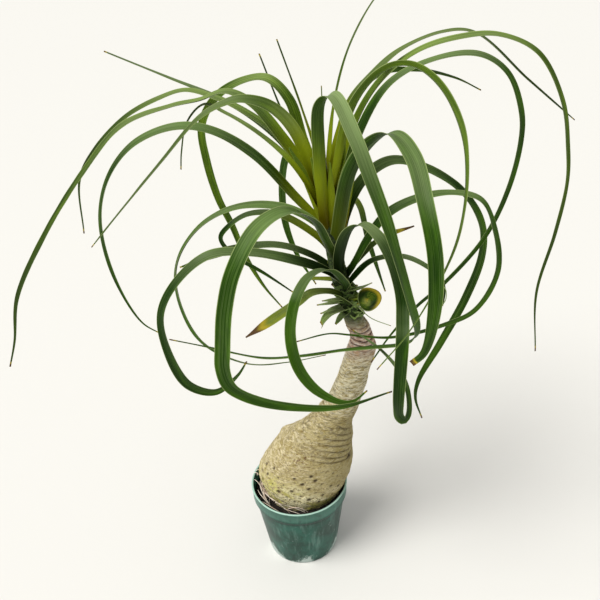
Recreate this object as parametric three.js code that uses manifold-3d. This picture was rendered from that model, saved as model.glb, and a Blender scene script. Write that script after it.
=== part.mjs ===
// A potted ponytail palm: a swollen stem that leans out of a small nursery pot and carries
// a loose crown of long, channelled strap leaves that arch over and hang.
// Millimetres, +Z up. The origin is the middle of the pot's underside, +Y is away from the front.

import * as THREE from 'three';
import { mergeVertices } from 'three/addons/utils/BufferGeometryUtils.js';
import Module from 'manifold-3d';

const wasm = await Module();
wasm.setup();

// ---- driving dimensions ----
const TOUCH_GAP = 0.3;          // left between pieces that touch

const POT_HEIGHT = 93;
const POT_RIM_RADIUS = 54;      // outside of the lip, a 4 1/4 inch pot
const POT_BASE_RADIUS = 40;
const POT_WALL = 1.6;
const POT_FLOOR = 2.4;
const RIM_BAND_HEIGHT = 16;     // the wider band round the mouth
const RIM_BAND_STEP = 2.2;      // how far the band stands out from the body
const DRAIN_HOLES = 5;
const DRAIN_HOLE_RADIUS = 4;
const DRAIN_CIRCLE_RADIUS = 27;

const SOIL_LEVEL = 82;
const SOIL_LUMP = 0.8;          // height of the lumps on top

const STEM_SIDES = 28;
const NECK_RING_PITCH = 5;      // ring scars under the crown
const NECK_RING_DEPTH = 0.5;
const SCALE_DEPTH = 1.1;        // butts of old leaves round the crown
const SCALES_ROUND = 7;
const SCALE_PITCH = 7;

const ROOT_COUNT = 14;
const ROOT_RADIUS = 0.9;
const ROOT_SIDES = 5;
const ROOT_STEPS = 4;
const ROOTS_FROM = 2.4;         // the roots show round the left of the foot, angles in radians
const ROOTS_REACH = 3.9;
const ROOT_SWEEP = 0.35;        // how far round the foot the shortest root runs
const ROOT_ARCH = 1.2;          // how high a root rises in the middle
const ROOTS_HELD_IN = 50;       // the gap inside the pot that holds them

const BLADE_THICKNESS = 0.9;
const BLADE_CHANNEL = 0.16;     // depth of the channel as a share of the width
const BLADE_STEP = 45;          // longest straight stretch of a blade
const BLADE_TURN = 20;          // most degrees that it turns in one stretch

// Stem sections from the foot in the soil to the spear of young leaves:
// height, centre x, half width in x, half width in y.
const STEM_SECTIONS = [
  [48, 2, 6, 6], [51, 2, 20, 18], [58, 2, 31, 28], [68, 2, 40, 35], [80, 2, 45, 38],
  [92, 3, 48, 41], [112, 7, 51, 43], [131, 12.5, 48.5, 42], [147, 16.5, 44.5, 39],
  [161, 23, 39, 34], [171, 27, 34.5, 29], [177, 33, 29, 25], [183, 41, 22.5, 22],
  [193, 47, 21, 20], [206, 54, 17.5, 17], [225, 61, 16.5, 15.5], [239, 65, 15.2, 14.5],
  [253, 69, 15, 14], [265, 72.5, 15, 13.5], [273, 74, 13.5, 12.5], [281, 73.5, 11.5, 11.5],
  [289, 71.5, 11, 11], [297, 68.5, 12, 12], [308, 63.5, 12.8, 12.8], [319, 60.5, 12, 12],
  [335, 56.5, 11, 11], [350, 53, 10, 10], [365, 50.5, 9, 9], [380, 48.5, 8, 8],
  [395, 46.5, 7, 7], [410, 45, 5.5, 5.5], [425, 43.5, 4, 4], [440, 43.2, 2.6, 2.6],
  [452, 43, 1, 1],
];
const FOOT_TURN = 60;           // below this the foot faces down
const NECK_RINGS_FROM = 273;
const SCALES_FROM = 300;
const SCALES_TO = 345;
const STEM_TOP = 452;
// Spacing of the stem's rings: from, to, step.
const STEM_RINGS = [
  [48, 64, 4], [64, 190, 9], [190, NECK_RINGS_FROM, 10],
  [NECK_RINGS_FROM, SCALES_FROM, NECK_RING_PITCH / 2], [SCALES_FROM, SCALES_TO, 3.5],
  [SCALES_TO, STEM_TOP, 12],
];

// Leaves, each with its widths and its rolls about its own rib in degrees, both spaced evenly from
// base to tip, and the route of the rib from the middle of the crown to the tip. A heading is the
// compass direction that the blade squares up to, in degrees from +X; without one it is where the
// leaf sets off.
const LEAVES = [
  // long arches to the left
  { name: 'leaf_left_1', widths: [7, 11, 11, 9, 6, 4.5, 1.5],
    roll: [-20, -20, 10, -10, -35, -70, -75],
    route: [[45.9, 0, 403], [38.5, 4.5, 425], [27, 12, 451], [8, 20, 480], [-16, 31, 508],
      [-38, 36, 519], [-62, 40, 512.5], [-89, 42, 508], [-135, 44, 493], [-175, 39, 456],
      [-223, 33, 399], [-265, 28, 335], [-279, 24, 287], [-291, 22, 257]] },
  { name: 'leaf_left_2', widths: [5.5, 9, 9, 7.5, 5, 3, 1.5],
    roll: [-20, -15, 0, -10, -45, -70, -70],
    route: [[47, 0, 388], [32, 10, 434], [6, 34, 475], [-24, 53, 496], [-51, 67, 507],
      [-79, 82, 512], [-104, 85, 506], [-141, 90, 489], [-176, 88, 460], [-196, 86, 431],
      [-202, 80, 376]] },
  { name: 'leaf_left_3', widths: [6.5, 8.5, 6.5, 3.5, 1.5],
    roll: [-15, -15, -5, 0, -20],
    route: [[47.5, 0, 386], [40, 13.5, 408], [28.5, 31, 438], [8, 50, 467], [-25, 71, 491],
      [-56, 91, 504], [-98, 117, 517], [-166, 160, 538]] },
  { name: 'leaf_left_4', widths: [8.5, 11.5, 11.5, 9.5, 8, 6, 1.5],
    roll: [-10, -5, 20, -35, -70, -75, -80],
    route: [[45.7, 0, 395], [39.5, 14, 422], [34.3, 27, 445.5], [25.2, 39, 472], [16, 48, 505],
      [-1, 56, 523], [-22, 66, 521], [-50, 79, 505], [-68, 88, 477], [-68, 88, 442], [-61, 85, 403],
      [-50, 81, 374], [-39, 72, 342], [-22, 59, 312], [-4, 50, 289]] },
  { name: 'leaf_left_5', widths: [3.5, 6.5, 5, 3, 1.5],
    roll: [-25, -45, -40, -65, -100],
    route: [[46, 0, 394], [25.7, -6.5, 448.5], [10, -4, 472], [-15, 12, 491], [-40, 30, 503],
      [-59, 44, 508], [-76, 46, 493], [-85, 46, 466], [-88, 46, 449]] },
  { name: 'leaf_left_6', widths: [8, 11, 8, 4.5, 1.5],
    roll: [-30, -70, -15, -10, -20],
    route: [[44, 0, 413], [34, -1.5, 447.9], [18, 1, 494], [0, 0, 514], [-22, -3, 522], [-36, -4, 520],
      [-58, -7, 510], [-95, -14, 476], [-147, -25, 426], [-163, -28, 410]] },
  { name: 'leaf_left_7', widths: [6.5, 11.5, 11.5, 9.5, 7, 3.5, 1.5],
    roll: [-30, -20, -10, -20, -30, -70, -65],
    route: [[48.5, 0, 374], [35, 3, 405], [14, 8, 431], [-19, 12, 470], [-53, 15, 492],
      [-83, 16, 497], [-121, 18, 484], [-148, 16, 456], [-162, 13, 418], [-160, 8, 363],
      [-141, 2, 313], [-124, 0, 299]] },
  { name: 'leaf_left_8', widths: [6.5, 11, 11, 9.5, 7, 3.5, 1.5],
    roll: [-25, -50, -35, -40, -75, -70, -70],
    route: [[51.5, 0, 360], [41.5, -12, 395], [29.5, -13.5, 413.8], [5, -8, 426], [-35, -8, 429],
      [-70, -8, 413], [-95, -9, 379], [-98, -10, 339], [-82, -16, 297], [-41, -24, 274],
      [-2, -32, 278], [35, -40, 289]] },
  { name: 'leaf_left_9', widths: [7.5, 11, 11, 10.5, 9.5, 8.5, 1.5],
    roll: [-30, -40, -25, -30, -60, -100, -100],
    route: [[56.5, 0, 336], [38, -14, 364], [8, -30, 386], [-27, -40, 400], [-59, -50, 405],
      [-87, -53, 386], [-106, -55, 357], [-108, -55, 322], [-95, -53, 275], [-71, -50, 262],
      [-49, -47, 277], [-39, -45, 291]] },
  { name: 'leaf_left_10', widths: [6, 9, 8, 8, 1.5],
    roll: [-20, -10, -25, -55, -65],
    route: [[53, 0, 350], [26, 3, 372], [-4, 7, 383], [-48, 12, 379], [-98, 15, 363]] },
  { name: 'leaf_left_11', widths: [7, 10, 10, 10, 10, 8.5, 1.5],
    roll: [-40, -30, -20, -25, -40, -50, -60],
    route: [[61, 0, 318], [55, -12, 331], [44, -18, 342], [25, -28, 349], [15, -30, 343],
      [-19, -36, 324], [-38, -38, 313]] },

  // leaves that fall forward over the pot
  { name: 'leaf_front_1', widths: [9.5, 14, 14, 14, 12, 7, 1.5],
    roll: [0, -10, -10, -20, -40, -55, -60], heading: -125,
    route: [[52, 0, 356], [40, -22, 396], [29, -40, 426], [8, -68, 448], [-15, -94, 446],
      [-34, -112, 421], [-43, -118, 393], [-49, -120, 356], [-51, -120, 339], [-48, -120, 322],
      [-39, -119, 311], [-11, -116, 295], [41, -110, 283], [91, -85, 276]] },
  { name: 'leaf_front_2', widths: [7.5, 12, 12, 9.5, 1.5],
    roll: [0, -5, -15, -60, -75],
    route: [[57.5, 0, 329], [54, -18, 353], [41, -29, 372], [24, -45, 375], [12, -60, 363],
      [5, -69, 335], [9, -75, 303], [23, -77, 278], [45, -75, 260], [58, -71, 257], [71, -66, 264]]
      },
  { name: 'leaf_front_3', widths: [9, 12, 12, 11, 8, 4, 1.5],
    roll: [0, -5, 20, -10, -5, -10, -20], heading: -60,
    route: [[47.5, 0, 388], [42, -10, 418], [39, -15, 479], [41, -20, 517], [50, -36, 528],
      [64, -56, 501], [75, -68, 470], [85, -78, 440], [94, -83, 407], [104, -83, 369],
      [113, -74, 334], [112, -70, 322], [103, -64, 313], [76, -60, 309], [52, -57, 306],
      [11, -51, 298], [-24, -46, 295], [-76, -42, 309], [-108, -40, 318]] },
  { name: 'leaf_front_4', widths: [8.5, 11.5, 11.5, 11.5, 10, 5, 1.5],
    roll: [0, -15, 30, 45, 40, 5, 10], heading: -60,
    route: [[55.5, 0, 338], [53, -21, 384], [61, -35, 413], [71, -44, 421], [83, -57, 414],
      [93, -64, 395], [100, -72, 365], [99, -85, 348], [97, -97, 334], [94, -106, 304],
      [93, -107, 281], [95, -102, 261], [100, -100, 255], [104, -96, 260], [103, -80, 282],
      [86, -58, 301], [59, -38, 315]] },
  { name: 'leaf_front_5', widths: [10.5, 14, 14, 14, 12.5, 11, 5],
    roll: [0, -5, -10, 35, 30, 40, 60], heading: -65,
    route: [[51, 0, 362], [54, -7.5, 402.8], [65, -9, 456], [80, -18, 482], [96, -36, 495],
      [108, -64, 485], [111, -104, 463], [115, -128, 427], [113, -140, 387], [107, -138, 353],
      [98, -138, 344]] },

  // long arches to the right
  { name: 'leaf_right_1', widths: [6.5, 10, 10, 8, 5.5, 3.5, 1.5],
    roll: [15, -25, -30, 5, 30, 55, 40],
    route: [[45.9, 0, 402], [52.2, 10, 421], [58.7, 15, 442.5], [73, 20, 490], [96, 25, 523],
      [127, 27, 544.5], [164, 29, 553], [198, 36, 551], [234, 42, 533], [263, 48, 488],
      [274, 50, 446], [278, 49, 411], [273, 48, 357], [261, 45, 291], [267, 42, 218]] },
  { name: 'leaf_right_2', widths: [5.5, 8, 8, 6.5, 4.5, 2.5, 1.5],
    roll: [20, 30, 10, 0, 30, 55, 45],
    route: [[44.2, 0, 420], [53, 6, 462], [67, 11, 508], [89, 19, 530.5], [113, 33, 545],
      [150, 45, 555], [179, 50, 552.5], [234, 62, 507], [288, 75, 462]] },
  { name: 'leaf_right_3', widths: [6.5, 10, 10, 8, 5.5, 4, 1.5],
    roll: [25, 45, 10, 50, 75, 85, 85],
    route: [[49, 0, 374], [53.9, -1, 404.5], [58.9, -0.5, 434.8], [76, 3, 489], [101, 5, 525],
      [139, 8, 541], [174, 8, 542], [198, 8, 526], [212, 7, 494], [214, 6, 470], [206, 1, 428],
      [186, -6, 384], [150, -14, 344], [123, -22, 325], [98, -27, 298], [79, -28, 268]] },
  { name: 'leaf_right_4', widths: [5.5, 9, 9, 7.5, 5, 2.5, 1.5],
    roll: [0, -35, -20, -50, -40, -50, -50],
    route: [[45.5, 0, 402], [54, -9, 463], [67, -13, 512], [85, -16, 536], [101, -21, 545],
      [116, -26, 544], [133, -40, 531], [146, -58, 503], [147, -78, 468], [139, -96, 432],
      [125, -108, 403], [98, -120, 361], [72, -128, 333]] },
  { name: 'leaf_right_5', widths: [5, 6.5, 6.5, 3.5, 1.5],
    roll: [10, 5, 5, 10, 5],
    route: [[45, 0, 406], [47, 12, 428], [54.3, 33, 462], [75, 46, 506], [98, 52, 523],
      [132, 61, 522], [170, 72, 510], [197, 80, 495]] },
  { name: 'leaf_right_6', widths: [8, 11, 11, 9, 8.5, 7, 1.5],
    roll: [15, 20, 25, 50, 95, 100, 90],
    route: [[52.5, 0.5, 358], [62, 8.4, 409.9], [79, 20, 437], [105, 30, 449], [140, 39, 436],
      [178, 48, 406], [198, 48, 372], [200, 46, 338], [185, 37, 296], [158, 23, 251],
      [134, 12, 212], [131, 10, 190], [138, 6, 165]] },
  { name: 'leaf_right_7', widths: [6, 9, 9, 7.5, 5, 2.5, 1.5],
    roll: [25, 50, 10, 40, 70, 75, 65],
    route: [[55.5, 0, 338], [67, -4, 362], [81, -4, 390], [98, -7, 414], [124, -9, 427],
      [154, -12, 431], [177, -17, 425], [189, -22, 400], [194, -27, 359], [175, -32, 323],
      [146, -34, 310], [98, -34, 300], [61, -32, 304], [40, -30, 306], [8, -28, 298]] },
  { name: 'leaf_right_8', widths: [4.5, 6.5, 6, 4.5, 1.5],
    roll: [30, 60, 30, 30, 40],
    route: [[58, 0, 328], [67, -13, 356], [82, -21, 375], [106, -34, 384], [122, -44, 381],
      [138, -50, 368], [141, -53, 357], [139, -56, 344]] },
  { name: 'leaf_right_9', widths: [4, 5, 5, 5, 1.5],
    roll: [0, 25, 25, 35, 45],
    route: [[54, 0, 346], [64, 9, 352], [78, 18, 363], [97, 24, 376], [128, 28, 384]] },

  // leaves that stand up or fall behind
  { name: 'leaf_back_1', widths: [3, 4.5, 3.5, 2, 1.5],
    roll: [0, 0, 25, 15, 10],
    route: [[42.8, 0, 425], [38, 11, 461], [26, 31, 505], [9, 60, 556]] },
  { name: 'leaf_back_2', widths: [3.5, 5, 3.5, 2, 1.5],
    roll: [0, -5, -10, -5, 0],
    route: [[48.8, 0, 376], [41, 26, 412], [27.9, 48.5, 451.2], [10, 84, 484], [-9, 112, 535]] },
  { name: 'leaf_back_3', widths: [3.5, 4.5, 3.5, 2, 1.5],
    roll: [0, -20, -50, -25, -10],
    route: [[44.4, 0, 414], [45, 8, 434], [48.2, 20, 458], [56, 32, 506], [70, 42, 548],
      [95, 70, 581], [110, 84, 591]] },
  { name: 'leaf_back_4', widths: [8.5, 11, 8, 7, 1.5],
    roll: [0, -15, -75, -95, -95],
    route: [[51, 0, 362], [46, 24, 400], [39, 44, 428], [24, 57, 449], [13, 68, 449], [6, 74, 427],
      [5, 76, 376], [15, 65, 343], [32, 45, 318]] },
  { name: 'leaf_back_5', widths: [6, 7, 6, 4.5, 1.5],
    roll: [-5, -35, -35, -85, -80],
    route: [[50, 0, 366], [35, 18, 383], [1, 36, 401], [-30, 45, 400], [-51, 45, 388],
      [-59, 45, 377], [-50, 42, 361], [-18, 30, 342], [9, 20, 324]] },
  { name: 'leaf_back_6', widths: [4.5, 7, 6, 5, 1.5],
    roll: [0, -10, -25, -30, -30],
    route: [[49, 0, 374], [61, 22, 396], [71, 43, 409], [79, 52, 396], [87, 60, 359], [98, 55, 320],
      [104, 52, 300]] },
  { name: 'leaf_heart_1', widths: [4, 6.5, 5, 3, 1.5],
    roll: [0, 35, 60, 60, 50], heading: -90,
    route: [[43.5, 0, 428], [44, 1, 465], [44, 5, 500], [44, 9, 526]] },
];

// Butts of leaves that broke or were cut off, low on the crown.
const LEAF_BUTTS = [
  { widths: [2, 4, 4, 3, 1.5], route: [[60, 0, 318], [50, -10, 321], [36, -12, 322]] },
  { widths: [2, 4, 4, 3, 1.5], route: [[62, 0, 312], [50, -9, 314], [32, -10, 312]] },
  { widths: [2.5, 6, 6, 4, 1.5], route: [[63, 0, 306], [54, -11, 309], [44, -13, 303], [39, -14, 297]] },
  { widths: [2, 5, 5, 3.5, 1.5], route: [[54, 0, 344], [36, 6, 344], [16, 10, 344]] },
  { widths: [2, 4, 4, 3, 1.5], route: [[57, 0, 334], [68, -8, 338], [83, -10, 346]] },
  { widths: [2, 5, 5, 3.5, 1.5], route: [[61, 0, 314], [66, 10, 322], [72, 20, 324]] },
  { widths: [2, 5, 5, 3.5, 1.5], route: [[62, 0, 310], [55, 12, 316], [48, 20, 316]] },
];

// The broken leaf that curled into a dish: its profile, its tilt towards the front and its place.
const DISH_PROFILE = [
  [0, -0.6], [5, -0.4], [9.2, 1.2], [10.8, 3.4], [10.2, 4.6], [8.6, 3.2], [4.6, 1], [0, 0.6],
];
const DISH_TILT = 62;
const DISH_CENTRE = [79, -14, 331.5];
const DISH_NECK = { widths: [3, 7, 7, 5, 1.5], route: [[61, 0, 322], [68, -10, 329], [78, -14, 332]] };

// ---- shared shape functions ----

// Closed solid through rings of equal point counts, with both triangles of a face split alike.
function skinRings(rings) {
  const count = rings[0].length;
  const positions = rings.flat().flatMap((p) => [p.x, p.y, p.z]);
  const index = [];
  for (let ring = 0; ring + 1 < rings.length; ring++) {
    for (let i = 0; i < count; i++) {
      const a = ring * count + i;
      const b = ring * count + ((i + 1) % count);
      index.push(a, b, b + count, a, b + count, a + count);
    }
  }
  const last = (rings.length - 1) * count;
  for (let i = 1; i + 1 < count; i++) {
    index.push(0, i + 1, i);
    index.push(last, last + i, last + i + 1);
  }
  const geometry = new THREE.BufferGeometry();
  geometry.setAttribute('position', new THREE.Float32BufferAttribute(positions, 3));
  geometry.setIndex(index);
  return geometry;
}

// A closed geometry as a solid that can be joined and cut.
function toSolid(geometry) {
  const bare = geometry.clone();
  bare.deleteAttribute('normal');
  bare.deleteAttribute('uv');
  const merged = mergeVertices(bare, 1e-4);
  const triVerts = [];
  const index = merged.index.array;
  for (let i = 0; i < index.length; i += 3) {
    const [a, b, c] = [index[i], index[i + 1], index[i + 2]];
    if (a !== b && b !== c && c !== a) triVerts.push(a, b, c);
  }
  return new wasm.Manifold(new wasm.Mesh({
    numProp: 3,
    vertProperties: new Float32Array(merged.attributes.position.array),
    triVerts: new Uint32Array(triVerts),
  }));
}

function toGeometry(solid) {
  const mesh = solid.getMesh();
  const geometry = new THREE.BufferGeometry();
  geometry.setAttribute('position', new THREE.Float32BufferAttribute(mesh.vertProperties, 3));
  geometry.setIndex(Array.from(mesh.triVerts));
  return geometry;
}

// Largest body of a solid: drops the scraps that a cut leaves.
function largestBody(solid) {
  return solid.decompose().sort((a, b) => b.volume() - a.volume())[0];
}

// Value between rows [z, ...values], with a smooth slope through each row.
function sectionAt(rows, z) {
  const last = rows.length - 1;
  let i = 0;
  while (i < last - 1 && z > rows[i + 1][0]) i++;
  const slope = (k, column) => {
    const before = rows[Math.max(k - 1, 0)];
    const after = rows[Math.min(k + 1, last)];
    return (after[column] - before[column]) / (after[0] - before[0]);
  };
  const span = rows[i + 1][0] - rows[i][0];
  const t = (z - rows[i][0]) / span;
  return rows[i].slice(1).map((value, k) => {
    const column = k + 1;
    const next = rows[i + 1][column];
    return value * (1 + 2 * t) * (1 - t) ** 2 + next * t * t * (3 - 2 * t)
      + span * (slope(i, column) * t * (1 - t) ** 2 + slope(i + 1, column) * t * t * (t - 1));
  });
}

// ---- pot ----
const BODY_TOP = POT_HEIGHT - RIM_BAND_HEIGHT;
const BAND_FOOT_RADIUS = POT_RIM_RADIUS - 0.9;
const BODY_TOP_RADIUS = BAND_FOOT_RADIUS - RIM_BAND_STEP;

function latheSolid(profile, sides) {
  const points = profile.map(([radius, z]) => new THREE.Vector2(radius, z));
  return new THREE.LatheGeometry(points, sides).rotateX(Math.PI / 2);
}

function makePot() {
  const foot = 1.5;
  let pot = toSolid(latheSolid([
    [0, 0], [POT_BASE_RADIUS - foot, 0], [POT_BASE_RADIUS, foot],
    [BODY_TOP_RADIUS, BODY_TOP], [BAND_FOOT_RADIUS, BODY_TOP + 1],
    [POT_RIM_RADIUS, POT_HEIGHT - 1], [POT_RIM_RADIUS - POT_WALL / 2, POT_HEIGHT],
    [POT_RIM_RADIUS - POT_WALL, POT_HEIGHT - 1], [BAND_FOOT_RADIUS - POT_WALL, BODY_TOP + 1],
    [BODY_TOP_RADIUS - POT_WALL, BODY_TOP - foot],
    [POT_BASE_RADIUS - POT_WALL, POT_FLOOR], [0, POT_FLOOR],
  ], 48));
  for (let i = 0; i < DRAIN_HOLES; i++) {
    const angle = (i + 0.5) * 2 * Math.PI / DRAIN_HOLES;
    const hole = new THREE.CylinderGeometry(DRAIN_HOLE_RADIUS, DRAIN_HOLE_RADIUS, 3 * POT_FLOOR, 12);
    hole.rotateX(Math.PI / 2);
    hole.translate(DRAIN_CIRCLE_RADIUS * Math.cos(angle), DRAIN_CIRCLE_RADIUS * Math.sin(angle), 0);
    pot = pot.subtract(toSolid(hole));
  }
  return toGeometry(pot);
}

// ---- stem: swollen foot, trunk, ringed neck, crown and spear ----

// Old leaf butts: a diamond lattice of scales that wraps the crown.
function crownScale(angle, z) {
  if (z < SCALES_FROM || z > SCALES_TO) return 0;
  const rise = (z - SCALES_FROM) / SCALE_PITCH;
  const turn = angle * SCALES_ROUND / (2 * Math.PI);
  const fade = Math.min(1, (SCALES_TO - z) / 10, (z - SCALES_FROM) / 3);
  const lattice = Math.cos(Math.PI * (turn + rise / 2)) * Math.cos(Math.PI * (turn - rise / 2));
  return SCALE_DEPTH * fade * Math.abs(lattice);
}

function neckRing(z) {
  if (z < NECK_RINGS_FROM || z > SCALES_FROM) return 0;
  return NECK_RING_DEPTH * Math.cos(2 * Math.PI * (z - NECK_RINGS_FROM) / NECK_RING_PITCH);
}

function stemGeometry(grow) {
  const heights = [];
  for (const [from, to, step] of STEM_RINGS) {
    for (let z = from; z < to; z += step) heights.push(z);
  }
  heights.push(STEM_TOP);
  const rings = heights.map((z, k) => {
    const [centre, halfX, halfY] = sectionAt(STEM_SECTIONS, z);
    const level = z - (z < FOOT_TURN ? grow : 0) + (k === heights.length - 1 ? grow : 0);
    const ring = [];
    for (let i = 0; i < STEM_SIDES; i++) {
      const angle = i * 2 * Math.PI / STEM_SIDES;
      const relief = crownScale(angle, z) + neckRing(z) + grow;
      ring.push(new THREE.Vector3(
        centre + (halfX + relief) * Math.cos(angle),
        (halfY + relief) * Math.sin(angle),
        level,
      ));
    }
    return ring;
  });
  return skinRings(rings);
}

// Fibrous roots that lie round the foot, just over the soil, each rooted in the stem.
function rootGeometry(i) {
  const shape = new THREE.Shape();
  for (let side = 0; side < ROOT_SIDES; side++) {
    const angle = side * 2 * Math.PI / ROOT_SIDES;
    const [x, y] = [ROOT_RADIUS * Math.cos(angle), ROOT_RADIUS * Math.sin(angle)];
    if (side === 0) shape.moveTo(x, y);
    else shape.lineTo(x, y);
  }
  shape.closePath();
  const start = ROOTS_FROM + ROOTS_REACH * i / ROOT_COUNT;
  const sweep = ROOT_SWEEP + 0.25 * ((i * 7) % 5) / 4;
  const bed = SOIL_LEVEL + SOIL_LUMP + 2 * TOUCH_GAP + ROOT_RADIUS + 0.5 * (i % 4);
  const [centre, halfX, halfY] = sectionAt(STEM_SECTIONS, SOIL_LEVEL + 3);
  const points = [];
  for (let step = 0; step <= ROOT_STEPS; step++) {
    const t = step / ROOT_STEPS;
    const angle = start + sweep * t;
    const out = -1.5 + (2.6 + (i % 3)) * Math.sin(t * 1.9);
    const held = Math.min(1, ROOTS_HELD_IN / (halfX + out));
    points.push(new THREE.Vector3(
      (centre + (halfX + out) * Math.cos(angle)) * held,
      (halfY + out) * Math.sin(angle) * held,
      bed + ROOT_ARCH * Math.sin(Math.PI * t),
    ));
  }
  return new THREE.ExtrudeGeometry(shape, {
    steps: ROOT_STEPS + 1,
    bevelEnabled: false,
    extrudePath: new THREE.CatmullRomCurve3(points),
  });
}

// ---- leaves ----

// Value at a share t of the length, between values spaced evenly along it.
function valueAlong(values, t) {
  const place = t * (values.length - 1);
  const k = Math.min(Math.floor(place), values.length - 2);
  return THREE.MathUtils.lerp(values[k], values[k + 1], place - k);
}

// A channelled blade along a route: a shallow V section of even thickness, carried without twist
// and then rolled about the rib.
function bladeGeometry({ widths, roll = [0, 0], heading, route }) {
  const marksOnRoute = route.map((p) => new THREE.Vector3(...p));
  const curve = new THREE.CatmullRomCurve3(marksOnRoute, false, 'centripetal');
  const fine = 12 * route.length;
  const marks = [0];
  const lengths = [0];
  for (let i = 1; i <= fine; i++) {
    const before = curve.getTangent((i - 1) / fine);
    const after = curve.getTangent(i / fine);
    const step = curve.getPoint(i / fine).distanceTo(curve.getPoint((i - 1) / fine));
    lengths.push(lengths[i - 1] + step);
    const turn = THREE.MathUtils.radToDeg(before.angleTo(after));
    marks.push(marks[i - 1] + step / BLADE_STEP + turn / BLADE_TURN);
  }
  const stretches = Math.ceil(marks[fine]);
  const setOff = Math.atan2(route[2][1] - route[0][1], route[2][0] - route[0][0]);
  const facing = heading === undefined ? setOff : THREE.MathUtils.degToRad(heading);
  const side = new THREE.Vector3(-Math.sin(facing), Math.cos(facing), 0);
  const rings = [];
  let k = 0;
  for (let i = 0; i <= stretches; i++) {
    const mark = marks[fine] * i / stretches;
    while (k < fine - 1 && marks[k + 1] < mark) k++;
    const u = (k + Math.min(1, (mark - marks[k]) / (marks[k + 1] - marks[k]))) / fine;
    const t = (lengths[k] + (lengths[k + 1] - lengths[k]) * (u * fine - k)) / lengths[fine];
    const tangent = curve.getTangent(u);
    side.addScaledVector(tangent, -side.dot(tangent)).normalize();
    const across = side.clone().applyAxisAngle(tangent, THREE.MathUtils.degToRad(valueAlong(roll, t)));
    const up = new THREE.Vector3().crossVectors(tangent, across);
    const half = valueAlong(widths, t) / 2;
    const rise = 2 * half * BLADE_CHANNEL;
    const centre = curve.getPoint(u);
    const at = (x, z) => centre.clone().addScaledVector(across, x).addScaledVector(up, z);
    const skin = BLADE_THICKNESS / 2;
    rings.push([
      at(-half, rise - skin), at(0, -skin), at(half, rise - skin),
      at(half, rise + skin), at(0, skin), at(-half, rise + skin),
    ]);
  }
  return skinRings(rings);
}

// A broken leaf that curled into a shallow dish, on a short neck.
function curledLeafSolid() {
  const dish = latheSolid(DISH_PROFILE, 20);
  dish.rotateX(THREE.MathUtils.degToRad(DISH_TILT));
  dish.translate(...DISH_CENTRE);
  return toSolid(dish).add(toSolid(bladeGeometry(DISH_NECK)));
}

// ---- assembly ----
const plastic = new THREE.MeshStandardMaterial({ color: 0x4f8c78, roughness: 0.55, metalness: 0 });
const soilLook = new THREE.MeshStandardMaterial({ color: 0x1d1a17, roughness: 0.95, metalness: 0 });
const bark = new THREE.MeshStandardMaterial({ color: 0xb8a876, roughness: 0.8, metalness: 0 });
const foliage = new THREE.MeshStandardMaterial({ color: 0x3c6e28, roughness: 0.45, metalness: 0 });
const dryFoliage = new THREE.MeshStandardMaterial({ color: 0x8a8a2c, roughness: 0.6, metalness: 0 });

const palm = new THREE.Group();

function addPiece(name, geometry, material) {
  const mesh = new THREE.Mesh(geometry, material);
  mesh.name = name;
  palm.add(mesh);
}

addPiece('nursery_pot', makePot(), plastic);

let stem = toSolid(stemGeometry(0));
for (const butt of LEAF_BUTTS) stem = stem.add(toSolid(bladeGeometry(butt)));
for (let i = 0; i < ROOT_COUNT; i++) stem = stem.add(toSolid(rootGeometry(i)));
addPiece('swollen_stem', toGeometry(largestBody(stem)), bark);

// The soil fills the pot to below the rim, lumpy on top and hollowed where the stem stands.
const soilBlock = latheSolid([
  [0, POT_FLOOR + TOUCH_GAP], [POT_BASE_RADIUS - POT_WALL - TOUCH_GAP, POT_FLOOR + TOUCH_GAP],
  [BODY_TOP_RADIUS - POT_WALL - 2 * TOUCH_GAP, BODY_TOP - 3],
  [BODY_TOP_RADIUS - POT_WALL - TOUCH_GAP, SOIL_LEVEL],
  [42, SOIL_LEVEL], [34, SOIL_LEVEL], [0, SOIL_LEVEL],
], 40);
const soilPoints = soilBlock.attributes.position;
for (let i = 0; i < soilPoints.count; i++) {
  if (soilPoints.getZ(i) < SOIL_LEVEL - 0.1) continue;
  const angle = Math.atan2(soilPoints.getY(i), soilPoints.getX(i));
  const reach = Math.hypot(soilPoints.getX(i), soilPoints.getY(i));
  const lump = Math.sin(7 * angle + reach) * Math.cos(4 * angle - reach / 3);
  soilPoints.setZ(i, SOIL_LEVEL + SOIL_LUMP * lump);
}
const stemHollow = toSolid(stemGeometry(TOUCH_GAP));
addPiece('potting_soil', toGeometry(largestBody(toSolid(soilBlock).subtract(stemHollow))), soilLook);

const crownCut = toSolid(stemGeometry(TOUCH_GAP));
addPiece('curled_leaf', toGeometry(largestBody(curledLeafSolid().subtract(crownCut))), dryFoliage);
for (const leaf of LEAVES) {
  const blade = toSolid(bladeGeometry(leaf)).subtract(crownCut);
  addPiece(leaf.name, toGeometry(largestBody(blade)), foliage);
}

export default palm;
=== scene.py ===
"""A potted ponytail palm: green nursery pot, soil, swollen stem, leaning trunk and a crown of strap leaves.

Metres, +Z up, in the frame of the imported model. Lengths written in millimetres are multiplied by MM.
"""
import math

import bmesh
import bpy
import numpy as np
from mathutils import Matrix, Vector


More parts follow.
